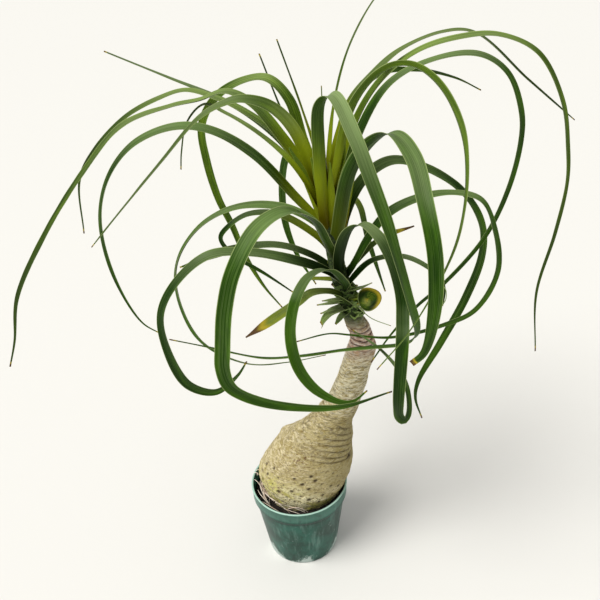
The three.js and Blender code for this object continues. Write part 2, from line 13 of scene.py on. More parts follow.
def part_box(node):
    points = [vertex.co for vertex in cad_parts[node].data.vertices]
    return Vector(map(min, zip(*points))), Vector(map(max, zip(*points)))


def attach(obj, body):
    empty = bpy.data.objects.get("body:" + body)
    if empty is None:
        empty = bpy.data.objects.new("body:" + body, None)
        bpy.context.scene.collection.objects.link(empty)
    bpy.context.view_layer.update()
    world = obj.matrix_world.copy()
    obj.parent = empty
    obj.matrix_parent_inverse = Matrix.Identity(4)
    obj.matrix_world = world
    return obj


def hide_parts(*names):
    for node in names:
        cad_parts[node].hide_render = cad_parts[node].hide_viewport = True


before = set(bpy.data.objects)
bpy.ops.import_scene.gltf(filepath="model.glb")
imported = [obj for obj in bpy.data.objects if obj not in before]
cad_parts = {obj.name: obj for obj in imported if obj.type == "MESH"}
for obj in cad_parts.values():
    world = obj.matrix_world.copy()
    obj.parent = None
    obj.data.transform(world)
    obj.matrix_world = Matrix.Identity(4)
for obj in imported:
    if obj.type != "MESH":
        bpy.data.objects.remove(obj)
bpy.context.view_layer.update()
MM = 0.001
scene = bpy.context.scene


# ---- Studio ----
# A wide pale floor under an even white sky, and one broad soft sun from the upper left.
# The camera looks down on the crown from in front of it.

def feed(tree, socket, value):
    """Sets an input socket to a value, or links it where the value is a socket itself."""
    if isinstance(value, bpy.types.NodeSocket):
        tree.links.new(value, socket)
    else:
        socket.default_value = value


def add_node(tree, kind, settings=None, **inputs):
    """A shader node of a kind; settings are its own properties, inputs are values or sockets by name.

    An input's underscores stand for spaces, as in Base_Color.
    """
    node = tree.nodes.new(kind)
    for key, value in (settings or {}).items():
        setattr(node, key, value)
    for key, value in inputs.items():
        feed(tree, node.inputs[key.replace("_", " ")], value)
    return node


def new_material(name):
    """An empty node material with its output node, as (material, tree, output)."""
    material = bpy.data.materials.new(name)
    material.use_nodes = True
    material.node_tree.nodes.clear()
    output = add_node(material.node_tree, "ShaderNodeOutputMaterial")
    return material, material.node_tree, output


def finish_material(tree, output, colour, roughness, height, dent, depth, gloss=0.5):
    """Ends a material with its shader, dented by a height socket to a depth in metres."""
    bump = add_node(tree, "ShaderNodeBump", Strength=dent, Distance=depth, Height=height)
    shader = add_node(tree, "ShaderNodeBsdfPrincipled", Base_Color=colour, Roughness=roughness,
                      Specular_IOR_Level=gloss, Normal=bump.outputs["Normal"])
    tree.links.new(shader.outputs["BSDF"], output.inputs["Surface"])


def place_of(tree):
    """The socket of a point's place on the piece."""
    return add_node(tree, "ShaderNodeTexCoord").outputs["Object"]


def rgb(red, green, blue):
    """A colour given on a screen's scale (0-255 a channel) as linear light with full alpha.

    A channel c turns into ((c + 0.055) / 1.055) ** 2.4, or c / 12.92 where it is very dark.
    """
    share = np.array([red, green, blue]) / 255
    linear = np.where(share > 0.04045, ((share + 0.055) / 1.055) ** 2.4, share / 12.92)
    return (*linear.tolist(), 1.0)


FLOOR_HALF = 9.0
FLOOR_GRAIN = 40.0
FLOOR_COLOUR = rgb(226, 225, 221)
SKY_COLOUR = (1.0, 0.995, 0.98, 1.0)
SKY_STRENGTH = 0.52
SUN_COLOUR = (1.0, 0.985, 0.95)
SUN_STRENGTH = 2.9
SUN_WIDTH = 35
SUN_FROM = Vector((-0.55, -0.35, 1.0))
CAMERA_PLACE = Vector((14.4, -581.1, 667.9)) * MM
CAMERA_RIGHT = Vector((0.9978, -0.0335, -0.0572)).normalized()
CAMERA_UP = Vector((0.0663, 0.5049, 0.8606)).normalized()
CAMERA_LENS = 42
CAMERA_SENSOR = 36

bpy.ops.mesh.primitive_grid_add(x_subdivisions=8, y_subdivisions=8, size=2 * FLOOR_HALF)
floor = bpy.context.object
floor.name = "studio_floor"
floor_material, tree, output = new_material("floor_paper")
grain = add_node(tree, "ShaderNodeTexNoise", Vector=place_of(tree), Scale=FLOOR_GRAIN, Detail=4.0)
finish_material(tree, output, FLOOR_COLOUR, 0.8, grain.outputs["Fac"], 0.05, 0.001)
floor.data.materials.append(floor_material)

world = bpy.data.worlds.new("studio_sky")
world.use_nodes = True
sky = world.node_tree.nodes["Background"]
sky.inputs["Color"].default_value = SKY_COLOUR
sky.inputs["Strength"].default_value = SKY_STRENGTH
scene.world = world

sun_data = bpy.data.lights.new("window", "SUN")
sun_data.energy = SUN_STRENGTH
sun_data.angle = math.radians(SUN_WIDTH)
sun_data.color = SUN_COLOUR
sun = bpy.data.objects.new("window", sun_data)
sun.rotation_euler = SUN_FROM.to_track_quat("Z", "Y").to_euler()
scene.collection.objects.link(sun)

camera_data = bpy.data.cameras.new("camera")
camera_data.lens = CAMERA_LENS
camera_data.sensor_width = CAMERA_SENSOR
camera_data.clip_start = 0.02
camera = bpy.data.objects.new("camera", camera_data)
turn = Matrix((CAMERA_RIGHT, CAMERA_UP, CAMERA_RIGHT.cross(CAMERA_UP))).transposed()
camera.matrix_world = Matrix.Translation(CAMERA_PLACE) @ turn.to_4x4()
scene.collection.objects.link(camera)
scene.camera = camera
scene.view_settings.view_transform = "Standard"


# ---- Nursery pot ----
# Thin injection-moulded polypropylene, faded by the sun: a tapered body, a wider band at the mouth
# with a rolled lip, and drain holes underneath. Hard water has left limescale round its foot.

def mix_colour(tree, factor, first, second):
    """The colour socket of a mix of two colours by a factor; each is a value or a socket."""
    node = tree.nodes.new("ShaderNodeMix")
    node.data_type = "RGBA"
    for socket, value in ((node.inputs[0], factor), (node.inputs[6], first), (node.inputs[7], second)):
        feed(tree, socket, value)
    return node.outputs[2]


def calculate(tree, operation, first, second=0.0, clamp=False):
    """The socket of a math node of two values or sockets."""
    node = add_node(tree, "ShaderNodeMath", {"operation": operation, "use_clamp": clamp})
    for socket, value in zip(node.inputs, (first, second)):
        feed(tree, socket, value)
    return node.outputs[0]


def times(tree, first, second):
    """The socket of a product."""
    return calculate(tree, "MULTIPLY", first, second)


def paint(tree, colour, tone, mask, strength=1.0):
    """The colour socket of a tone laid over a colour, as thick as a mask times a strength."""
    return mix_colour(tree, times(tree, mask, strength), colour, tone)


def fade(tree, value, low, high):
    """A smooth step of a socket's value from 0 at low to 1 at high; low may be the larger one."""
    node = add_node(tree, "ShaderNodeMapRange", {"interpolation_type": "SMOOTHSTEP"},
                    Value=value, From_Min=low, From_Max=high)
    return node.outputs["Result"]


def stretched_noise(tree, vector, stretch, scale, detail=3.0, roughness=0.5):
    """The factor socket of a noise whose space is scaled by stretch on each axis."""
    mapping = add_node(tree, "ShaderNodeMapping", Vector=vector, Scale=stretch)
    noise = add_node(tree, "ShaderNodeTexNoise", Vector=mapping.outputs["Vector"], Scale=scale,
                     Detail=detail, Roughness=roughness)
    return noise.outputs["Fac"]


def new_group(name, inputs, outputs):
    """An empty shader node group; inputs and outputs map socket names to socket types.

    Returns (group, its input node's outputs, its output node's inputs).
    """
    group = bpy.data.node_groups.new(name, "ShaderNodeTree")
    for socket_name, kind in inputs.items():
        group.interface.new_socket(socket_name, in_out="INPUT", socket_type=kind)
    for socket_name, kind in outputs.items():
        group.interface.new_socket(socket_name, in_out="OUTPUT", socket_type=kind)
    entry = group.nodes.new("NodeGroupInput")
    leave = group.nodes.new("NodeGroupOutput")
    return group, entry.outputs, leave.inputs


def mottle_group():
    """Shared blotches: a colour that wanders towards another in soft patches and fine specks."""
    group, given, made = new_group(
        "mottle",
        {"Vector": "NodeSocketVector", "Colour": "NodeSocketColor", "Patches": "NodeSocketColor",
         "Scale": "NodeSocketFloat", "Amount": "NodeSocketFloat"},
        {"Colour": "NodeSocketColor", "Height": "NodeSocketFloat"},
    )
    wide = add_node(group, "ShaderNodeTexNoise", Vector=given["Vector"], Scale=given["Scale"],
                    Detail=5.0, Roughness=0.62)
    fine = add_node(group, "ShaderNodeTexNoise", Vector=given["Vector"],
                    Scale=times(group, given["Scale"], 6.5), Detail=3.0)
    patch = fade(group, wide.outputs["Fac"], 0.4, 0.68)
    speck = times(group, fade(group, fine.outputs["Fac"], 0.5, 0.75), 0.45)
    both = calculate(group, "MAXIMUM", patch, speck)
    factor = calculate(group, "MULTIPLY", both, given["Amount"], clamp=True)
    group.links.new(mix_colour(group, factor, given["Colour"], given["Patches"]), made["Colour"])
    group.links.new(fine.outputs["Fac"], made["Height"])
    return group


MOTTLE = mottle_group()


def mottled(tree, vector, colour, patches, scale, amount):
    """The mottle group in a material, as (colour socket, height socket)."""
    node = add_node(tree, "ShaderNodeGroup", {"node_tree": MOTTLE}, Vector=vector, Colour=colour,
                    Patches=patches, Scale=scale, Amount=amount)
    return node.outputs["Colour"], node.outputs["Height"]


def new_piece(name, points, faces, material, values=None, uv=None):
    """A smooth mesh object at the origin that rides on the root, from numpy points and corner lists.

    values maps attribute names to one float a point; uv is one pair a point.
    """
    mesh = bpy.data.meshes.new(name)
    mesh.from_pydata(np.asarray(points).tolist(), [], faces)
    for key, column in (values or {}).items():
        attribute = mesh.attributes.new(key, "FLOAT", "POINT")
        attribute.data.foreach_set("value", np.ascontiguousarray(column, dtype=np.float32).ravel())
    if uv is not None:
        corner = np.empty(len(mesh.loops), dtype=np.int32)
        mesh.loops.foreach_get("vertex_index", corner)
        layer = mesh.uv_layers.new(name="surface")
        layer.data.foreach_set("uv", np.asarray(uv, dtype=np.float32)[corner].ravel())
    shaped = bmesh.new()
    shaped.from_mesh(mesh)
    bmesh.ops.recalc_face_normals(shaped, faces=shaped.faces)
    shaped.to_mesh(mesh)
    shaped.free()
    mesh.polygons.foreach_set("use_smooth", np.ones(len(mesh.polygons), dtype=bool))
    mesh.update()
    piece = bpy.data.objects.new(name, mesh)
    scene.collection.objects.link(piece)
    mesh.materials.append(material)
    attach(piece, "root")
    return piece


def skin(rows, columns, start=0):
    """Faces of a closed skin over rows rings of columns points, with a flat cap at both ends.

    Corner (r, c) is point r * columns + c, and column c joins column (c + 1) mod columns.
    """
    ring, step = np.meshgrid(np.arange(rows - 1), np.arange(columns), indexing="ij")
    here = ring * columns + step
    beside = ring * columns + (step + 1) % columns
    quads = np.stack([here, beside, beside + columns, here + columns], axis=-1).reshape(-1, 4) + start
    last = start + (rows - 1) * columns
    caps = [list(range(start, start + columns)), list(range(last, last + columns))]
    return quads.tolist() + caps


def arc(centre, radius, first, last, steps):
    """Points (r, z) along an arc about a centre, between two angles in degrees."""
    angle = np.radians(np.linspace(first, last, steps))
    return [(centre[0] + radius * math.cos(a), centre[1] + radius * math.sin(a)) for a in angle]


def lathe(profile, sides):
    """Rings of points (rings, sides, 3) of a profile of (radius, z) millimetres turned about Z."""
    radius, height = np.array(profile).T[:, :, None] * MM
    angle = np.linspace(0, 2 * np.pi, sides, endpoint=False)[None, :]
    height = np.broadcast_to(height, (len(profile), sides))
    return np.stack([radius * np.cos(angle), radius * np.sin(angle), height], axis=-1)


pot_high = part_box("nursery_pot")[1]
POT_HEIGHT = pot_high.z / MM
LIP_OUTSIDE = pot_high.x / MM
BASE_RADIUS = 40
FOOT_ROUNDING = 2
WALL = 1.6
POT_FLOOR = 2.4
FOOT_RING = 1.0
BEAD = 1.1
BAND_HEIGHT = 16
BAND_STEP = 2.2
DRAIN_HOLES = 5
DRAIN_CIRCLE = 27
DRAIN_RADIUS = 4
BAND_FOOT = LIP_OUTSIDE - 0.9
BODY_TOP = POT_HEIGHT - BAND_HEIGHT
BODY_TOP_RADIUS = BAND_FOOT - BAND_STEP
NEAR_AXIS = 0.05


def pot_profile():
    """The pot's wall from the middle of its underside, round the lip and back to the middle inside."""
    outer_foot = arc((BASE_RADIUS - FOOT_ROUNDING, FOOT_ROUNDING), FOOT_ROUNDING, -90, -6, 7)
    band_foot = arc((BAND_FOOT - 1, BODY_TOP + 1.4), 1, -70, 0, 5)
    bead = arc((LIP_OUTSIDE - BEAD, POT_HEIGHT - BEAD), BEAD, -60, 200, 18)
    inner = [(BAND_FOOT - WALL, BODY_TOP + 2), (BODY_TOP_RADIUS - WALL, BODY_TOP - 1.5)]
    inner_foot = [(BASE_RADIUS - WALL, POT_FLOOR + 1.5), (BASE_RADIUS - WALL - 1.5, POT_FLOOR)]
    recess = [(NEAR_AXIS, FOOT_RING), (BASE_RADIUS - 9, FOOT_RING), (BASE_RADIUS - 8, 0)]
    height = np.linspace(4, BODY_TOP, 24)
    body = list(zip(np.interp(height, (FOOT_ROUNDING, BODY_TOP), (BASE_RADIUS, BODY_TOP_RADIUS)), height))
    return recess + outer_foot + body + band_foot + bead + inner + inner_foot + [(NEAR_AXIS, POT_FLOOR)]


def bell(value, centre, width):
    """A bump exp(-((value - centre) / width)^2)."""
    return np.exp(-((value - centre) / width) ** 2)


def turn_from(angle, centre):
    """Signed difference of two angles in degrees, from -180 to 180."""
    return (angle - centre + 180) % 360 - 180


def attribute_of(tree, name):
    """The float socket of a mesh attribute."""
    return add_node(tree, "ShaderNodeAttribute", {"attribute_name": name}).outputs["Fac"]


POT_GREEN = rgb(2, 56, 42)
POT_PATCHES = rgb(26, 92, 76)
BAND_GREEN = rgb(72, 132, 114)
WORN_GREEN = rgb(4, 38, 30)
STREAK_GREEN = rgb(128, 166, 154)
LIMESCALE = rgb(186, 200, 194)
# Painted shadow: the dark green laid on the body just under the band's lower edge.
BAND_SHADOW = rgb(8, 32, 27)
LIP_PALE = rgb(172, 206, 192)
# Heights on the pot in metres, each with where a paint or a painted shadow starts and where it is full.
BAND_ZONE = ((BODY_TOP + 0.5) * MM, (BODY_TOP + 6) * MM)
BAND_SHADOW_FROM = ((BODY_TOP - 6.5) * MM, (BODY_TOP - 0.5) * MM)
BAND_SHADOW_TO = ((BODY_TOP + 2.2) * MM, (BODY_TOP + 0.5) * MM)
LIP_ZONE = ((POT_HEIGHT - 0.6) * MM, (POT_HEIGHT + 0.1) * MM)


def pot_material():
    """Faded green plastic: a paler band, dark worn patches, wear streaks, limescale scuffs at the foot,
    painted shadow under the band and a paler top of the lip.
    """
    material, tree, output = new_material("faded_plastic")
    place = place_of(tree)
    height = add_node(tree, "ShaderNodeSeparateXYZ", Vector=place).outputs["Z"]
    streaks = stretched_noise(tree, place, (1.0, 1.0, 0.1), 130.0, 5.0, 0.65)
    blotch = stretched_noise(tree, place, (1.0, 1.0, 0.8), 95.0, 7.0, 0.74)
    colour, speck = mottled(tree, place, POT_GREEN, POT_PATCHES, 30.0, 0.95)
    colour = paint(tree, colour, BAND_GREEN, fade(tree, height, *BAND_ZONE), 0.55)
    colour = paint(tree, colour, WORN_GREEN, fade(tree, blotch, 0.48, 0.38), 0.4)
    colour = paint(tree, colour, STREAK_GREEN, fade(tree, streaks, 0.5, 0.72), 0.3)
    scuffed = calculate(tree, "ADD", blotch, times(tree, attribute_of(tree, "scuff"), 0.3))
    limescale = times(tree, fade(tree, scuffed, 0.6, 0.76), 0.85)
    colour = mix_colour(tree, limescale, colour, LIMESCALE)
    # Painted shadow: a strip that darkens the body just below the band's foot.
    band_shadow = times(tree, fade(tree, height, *BAND_SHADOW_FROM), fade(tree, height, *BAND_SHADOW_TO))
    colour = paint(tree, colour, BAND_SHADOW, band_shadow, 0.9)
    # The topmost millimetre of the lip is painted paler, with a ragged lower edge.
    lip_edge = calculate(tree, "ADD", height, times(tree, blotch, 0.0012))
    colour = paint(tree, colour, LIP_PALE, fade(tree, lip_edge, *LIP_ZONE), 0.9)
    relief = calculate(tree, "ADD", times(tree, speck, 0.35), limescale)
    rough = calculate(tree, "ADD", times(tree, limescale, 0.3), 0.38)
    finish_material(tree, output, colour, rough, relief, 0.35, 0.0004, gloss=0.3)
    return material


def drill(piece, cutters):
    """Cuts the cutters out of a piece for good and removes them."""
    for cutter in cutters:
        cut = piece.modifiers.new("cut", "BOOLEAN")
        cut.object = cutter
        cut.operation = "DIFFERENCE"
    shaped = bpy.data.meshes.new_from_object(piece.evaluated_get(bpy.context.evaluated_depsgraph_get()))
    piece.modifiers.clear()
    piece.data = shaped
    for cutter in cutters:
        bpy.data.objects.remove(cutter, do_unlink=True)


POT_SIDES = 192
# Where water splashed the foot: the direction in degrees from +X, and how much of it.
SPLASHES = ((-150, 1.9), (-88, 0.6), (-26, 1.7))
pot_rings = lathe(pot_profile(), POT_SIDES)
pot_angle = np.degrees(np.arctan2(pot_rings[..., 1], pot_rings[..., 0]))
pot_level = pot_rings[..., 2] / MM
scuff = sum(share * bell(turn_from(pot_angle, side), 0, 13) for side, share in SPLASHES)
scuff = scuff * bell(pot_level, 6, 9) + 0.5 * bell(pot_level, 2, 3)
pot = new_piece("pot_shell", pot_rings.reshape(-1, 3), skin(len(pot_rings), POT_SIDES), pot_material(),
                values={"scuff": scuff})
punches = []
for hole in range(DRAIN_HOLES):
    hole_angle = (hole + 0.5) * 2 * math.pi / DRAIN_HOLES
    hole_place = (DRAIN_CIRCLE * MM * math.cos(hole_angle), DRAIN_CIRCLE * MM * math.sin(hole_angle), 0)
    bpy.ops.mesh.primitive_cylinder_add(vertices=32, radius=DRAIN_RADIUS * MM, depth=12 * MM,
                                        location=hole_place)
    punches.append(bpy.context.object)
drill(pot, punches)
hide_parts("nursery_pot")


# ---- Potting soil ----
# Dark peat with fine crumbs and a few white grains of perlite, pressed round the plant by hand
# and sunk about a centimetre below the lip.

SOIL_LEVEL = 82
SOIL_RADIUS = BODY_TOP_RADIUS - WALL + 0.6
SUNK_DEPTH = 5
SUNK_SIDE = -165


def wave_noise(seed, scale, *axes):
    """Smooth noise from -1 to 1: the mean of seven sines, sin(k . x / scale + phase), with seeded k."""
    rng = np.random.default_rng(seed)
    total = 0
    for _ in range(7):
        wave = rng.normal(size=len(axes))
        phase = rng.uniform(0, 2 * np.pi)
        total = total + np.sin(sum(w * axis for w, axis in zip(wave, axes)) / scale + phase)
    return total / 7


def soil_height(x, y):
    """Height of the soil in metres: mounds 20 mm wide, lumps of 4 mm and grit of 1 mm on its level.

    It has sunk by up to 5 mm at the left, exp(-(difference of direction / 70 degrees)^2) of it, and
    less than that within 40 mm of the middle.
    """
    sideways = bell(turn_from(np.degrees(np.arctan2(y, x)), SUNK_SIDE), 0, 70)
    sunk = SUNK_DEPTH * sideways * np.clip(np.hypot(x, y) / MM / 40, 0, 1)
    mounds = 1.3 * wave_noise(3, 8 * MM, x, y)
    lumps = 1.1 * wave_noise(4, 1.7 * MM, x, y)
    grit = 0.5 * wave_noise(5, 0.5 * MM, x, y)
    return (SOIL_LEVEL + mounds + lumps + grit - sunk) * MM


def speckled_material(name, colour, patches, scale, amount, roughness, dent, depth):
    """A dull material of one colour that is mottled with another, dented by its fine specks."""
    material, tree, output = new_material(name)
    mixed, speck = mottled(tree, place_of(tree), colour, patches, scale, amount)
    finish_material(tree, output, mixed, roughness, speck, dent, depth)
    return material


SOIL_SIDES = 320
SOIL_MIDDLE = 0.3
SOIL_FOOT = POT_FLOOR + 0.4
soil_profile = [(SOIL_MIDDLE, SOIL_FOOT), (BASE_RADIUS - WALL - 0.4, SOIL_FOOT),
                (SOIL_RADIUS - 0.8, BODY_TOP - 3)]
buried = len(soil_profile)
soil_profile += [(radius, SOIL_LEVEL) for radius in np.linspace(SOIL_RADIUS, SOIL_MIDDLE, 72)]
soil_rings = lathe(soil_profile, SOIL_SIDES)
soil_rings[buried:, :, 2] = soil_height(soil_rings[buried:, :, 0], soil_rings[buried:, :, 1])
PEAT_DARK = rgb(15, 12, 10)
PEAT_FIBRE = rgb(44, 34, 26)
peat = speckled_material("peat", PEAT_DARK, PEAT_FIBRE, 260.0, 0.8, 0.95, 0.9, 0.0008)
soil = new_piece("soil_bed", soil_rings.reshape(-1, 3), skin(len(soil_rings), SOIL_SIDES), peat)
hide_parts("potting_soil")


def crumbs(name, seed, count, smallest, largest, material):
    """Seeded lumps on the soil between the plant's foot and the pot: 20-sided grains pulled out of round."""
    ball = bmesh.new()
    bmesh.ops.create_icosphere(ball, subdivisions=1, radius=1)
    shape = np.array([v.co for v in ball.verts])
    corners = np.array([[v.index for v in face.verts] for face in ball.faces])
    ball.free()
    rng = np.random.default_rng(seed)
    angle = rng.uniform(0, 2 * np.pi, count)
    reach = np.sqrt(rng.uniform(34 ** 2, (SOIL_RADIUS - 1) ** 2, count)) * MM
    size = rng.uniform(smallest, largest, (count, 1, 3)) * MM
    lumpy = shape[None] * size * rng.uniform(0.75, 1.2, (count, len(shape), 1))
    x, y = reach * np.cos(angle), reach * np.sin(angle)
    centre = np.stack([x, y, soil_height(x, y) + smallest * 0.4 * MM], axis=-1)
    offsets = np.arange(count)[:, None, None] * len(shape)
    return new_piece(name, (lumpy + centre[:, None]).reshape(-1, 3),
                     (corners[None] + offsets).reshape(-1, 3).tolist(), material)


PERLITE_WHITE = rgb(206, 200, 188)
PERLITE_STAIN = rgb(150, 138, 118)
perlite = speckled_material("perlite", PERLITE_WHITE, PERLITE_STAIN, 300.0, 0.6, 0.9, 0.5, 0.0004)
crumbs("soil_crumbs", 11, 420, 0.4, 1.5, peat)
crumbs("perlite_grains", 12, 16, 0.5, 1.1, perlite)


# ---- Swollen stem and trunk ----
# One living stem: a water-storing foot with corky bark, a leaning trunk with fine horizontal scars,
# a paler ringed neck where leaves dropped lately, and a green crown. It grew through the soil.

# Stem sections from the foot in the soil to the spear of young leaves:
# height, centre x, half width in x, half width in y, in millimetres.
STEM_SECTIONS = np.array([
    [48, 2, 6, 6], [51, 2, 20, 18], [58, 4, 28, 26], [68, 4.5, 36, 32], [80, 5, 41, 36],
    [92, 5.5, 45.5, 39.5], [112, 7, 51, 43], [131, 12.5, 48.5, 42], [147, 16.5, 44.5, 39],
    [161, 23, 39, 34], [171, 27, 34.5, 29], [177, 33, 29, 25], [183, 41, 22.5, 22],
    [193, 47, 21, 20], [206, 54, 17.5, 17], [225, 61, 16.5, 15.5], [239, 65, 15.2, 14.5],
    [253, 69, 15, 14], [265, 72.5, 15, 13.5], [273, 74, 13.5, 12.5], [281, 73.5, 11.5, 11.5],
    [289, 71.5, 11, 11], [297, 68.5, 12, 12], [308, 63.5, 12.8, 12.8], [319, 60.5, 12, 12],
    [335, 56.5, 11, 11], [350, 53, 10, 10], [365, 50.5, 9, 9], [380, 48.5, 8, 8],
    [395, 46.5, 7, 7], [410, 45, 5.5, 5.5], [425, 43.5, 4, 4], [440, 43.2, 2.6, 2.6],
    [452, 43, 1, 1],
])
CAUDEX_TOP = 204
NECK_FROM = 268
CROWN_FROM = 301
SPEAR_FROM = 395
STEM_FROM = 52
STEM_TO = 451
SHOULDER = 178
NECK_MIDDLE = 281
NECK_SPREAD = 16

# Heights and depths of the bark's relief, and the spacing of its lines, in millimetres.
LUMP_HEIGHT = 1.6
WART_HEIGHT = 1.8
SCAR_DEPTH = 0.42
SCAR_PITCH = 2.5
FOLD_DEPTH = 1.2
FOLD_LEVELS = (180, 174, 168.5, 163, 157, 151, 146)
NOTCH_DEPTH = 2.6
KNOB_HEIGHT = 5.0
HOLLOW_DEPTH = 12.0
PIT_DEPTH = 1.3
PITS = 34
RING_DEPTH = 1.2
RING_PITCH = 5.2
CRACK_DEPTH = 0.6
CROWN_SLIMMED = 4.0
CROWN_ROUGH = 0.5

# Soft spots on the bark: a height and its spread in millimetres, a direction and its spread in degrees.
NOTCH = (140, 3, -26, 7)
KNOB = (157, 5, 150, 12)
SMALL_KNOB = (163, 4, -150, 8)
HOLLOW = (169, 12, 138, 50)
HOLLOW_BELOW = (146, 14, 138, 50)
MOSSY_BACK = (104, 17, -138, 36)
MOSSY_FRONT = (90, 7, -90, 60)
CHALKY = (98, 17, -100, 46)
SCABBY_SHOULDER = (152, 16, -112, 24)
SCABBY_FOOT = (100, 16, -50, 22)


def stem_section(z):
    """Centre x and half widths at a height, in millimetres, with a smooth slope through each section.

    Between rows p and q, span s apart with slopes m and n, the value at share t is the cubic
    p(1 + 2t)(1 - t)^2 + q t^2 (3 - 2t) + s(m t (1 - t)^2 + n t^2 (t - 1)).
    """
    level = STEM_SECTIONS[:, 0]
    last = len(level) - 1
    row = np.clip(np.searchsorted(level, z) - 1, 0, last - 1)
    before = np.maximum(np.arange(last + 1) - 1, 0)
    after = np.minimum(np.arange(last + 1) + 1, last)
    slopes = (STEM_SECTIONS[after, 1:] - STEM_SECTIONS[before, 1:]) / (level[after] - level[before])[:, None]
    span = (level[row + 1] - level[row])[..., None]
    t = (z[..., None] - level[row][..., None]) / span
    near, far = STEM_SECTIONS[row, 1:], STEM_SECTIONS[row + 1, 1:]
    return (near * (1 + 2 * t) * (1 - t) ** 2 + far * t * t * (3 - 2 * t)
            + span * (slopes[row] * t * (1 - t) ** 2 + slopes[row + 1] * t * t * (t - 1)))


def stem_surface(z, angle):
    """The bark at heights z (mm) and angles (degrees): points in metres and its marks.

    Relief in millimetres is added to the section's radius: broad lumps and warts, shallow ring scars,
    rows of creases where the trunk bends out of the foot, a notch, two knobs and a hollow on the
    foot's shoulder, pits, the neck's rings and cracks, and the crown, slimmer under its scales. A spot
    is exp(-((z - level) / spread)^2) times the same of its direction.
    """
    radians = np.radians(angle)
    centre, half_x, half_y = np.moveaxis(stem_section(z), -1, 0)
    round_x, round_y = np.cos(radians) * 30, np.sin(radians) * 30
    foot = 1 / (1 + np.exp((z - SHOULDER) / 9))
    neck = bell(z, NECK_MIDDLE, NECK_SPREAD)
    crown = 1 / (1 + np.exp((CROWN_FROM - z) / 2.5))

    def noise(seed, scale, stretch=1.0):
        return wave_noise(seed, scale, round_x, round_y, z * stretch)

    def spot(level, tall, side, wide):
        return bell(z, level, tall) * bell(turn_from(angle, side), 0, wide)

    lumps = LUMP_HEIGHT * foot * noise(21, 17) + 0.6 * noise(22, 5)
    warts = WART_HEIGHT * foot * np.clip(noise(32, 2.0) - 0.2, 0, 1)
    wander = 3.0 * noise(23, 8)
    scarred = np.clip(noise(24, 4, 1.6) + 0.3, 0, 1) * (0.25 + 0.75 * (1 - foot))
    scars = SCAR_DEPTH * scarred * np.sin((z + wander) * 2 * np.pi / SCAR_PITCH)
    fold_line = z + 0.2 * turn_from(angle, -60) + 0.3 * wander
    folds = sum(bell(fold_line, level, 0.8) for level in FOLD_LEVELS) * bell(turn_from(angle, -55), 0, 38)
    notch = spot(*NOTCH)
    knob = spot(*KNOB) + 0.5 * spot(*SMALL_KNOB)
    hollow = spot(*HOLLOW) + 0.3 * spot(*HOLLOW_BELOW)
    slimmed = CROWN_SLIMMED * crown * np.clip((SPEAR_FROM - z) / 90, 0, 1)

    rng = np.random.default_rng(26)
    pits = 0 * z
    for order, deep in enumerate(rng.uniform(0.25, 1.0, PITS)):
        pit_z = 93 + 44 * (order * 0.618 % 1)
        pit_angle = -172 + 128 * order / PITS + rng.uniform(-3, 3)
        away = turn_from(angle, pit_angle) * 0.8
        pits = np.maximum(pits, deep * np.exp(-(away ** 2 + (z - pit_z) ** 2) / (0.7 + 0.9 * deep) ** 2))

    ring_place = z + 1.4 * wave_noise(27, 14, round_x, round_y)
    rings = bell((ring_place - NECK_FROM) % RING_PITCH, RING_PITCH / 2, 0.75) * bell(z, 284, 15)
    crack = np.clip(noise(28, 3.4, 1.7) - 0.25, 0, 1) * neck * 2.2

    relief = (lumps + warts + scars * (1 - crown) - FOLD_DEPTH * folds - NOTCH_DEPTH * notch
              + KNOB_HEIGHT * knob - PIT_DEPTH * pits - HOLLOW_DEPTH * hollow - RING_DEPTH * rings
              - CRACK_DEPTH * crack - slimmed + CROWN_ROUGH * crown * noise(29, 3))
    relief = relief * np.clip((449 - z) / 30, 0, 1) * np.clip((z - 50) / 12, 0, 1)
    points = np.stack([centre + (half_x + relief) * np.cos(radians),
                       (half_y + relief) * np.sin(radians), z], axis=-1) * MM
    marks = {
        "pit": pits * 2.6 + 1.1 * notch + 0.75 * folds,
        "scar": -scars * 3.5,
        "neck": neck * 1.25,
        "ring": 1.4 * rings + crack,
        "crown": crown,
        "moss": (1.3 * spot(*MOSSY_BACK) + 0.8 * spot(*MOSSY_FRONT)) * (1.0 + 1.8 * noise(30, 3)),
        "chalk": 2.2 * spot(*CHALKY) * (0.5 + 1.9 * noise(31, 3)),
        # Highest on the right-hand side, away from the sun: it places painted shade on the bark.
        "shade": 0.5 + 0.5 * np.cos(np.radians(turn_from(angle, -8))),
        "scab": 0.12 * foot + 0.9 * spot(*SCABBY_SHOULDER) + 0.8 * spot(*SCABBY_FOOT),
        "foot": foot,
    }
    return points, {name: np.clip(mark, 0, 1) for name, mark in marks.items()}


BARK_TAN = rgb(214, 198, 146)
BARK_OCHRE = rgb(180, 160, 98)
BARK_PALE = rgb(246, 232, 192)
BARK_GRAIN = rgb(120, 92, 44)
OLIVE_AND_SHADE = rgb(128, 116, 26)
SCAR_BROWN = rgb(104, 84, 50)
LICHEN = rgb(240, 232, 200)
MOSS = rgb(210, 206, 90)
CHALK = rgb(252, 242, 196)
CREVICE = rgb(82, 68, 30)
SCAB_BROWN = rgb(112, 66, 36)
NECK_TONES = rgb(200, 150, 128), rgb(250, 240, 226)
CROWN_TONES = rgb(34, 52, 18), rgb(84, 108, 44)
RING_BROWN = rgb(76, 42, 30)
PIT_BROWN = rgb(58, 40, 22)


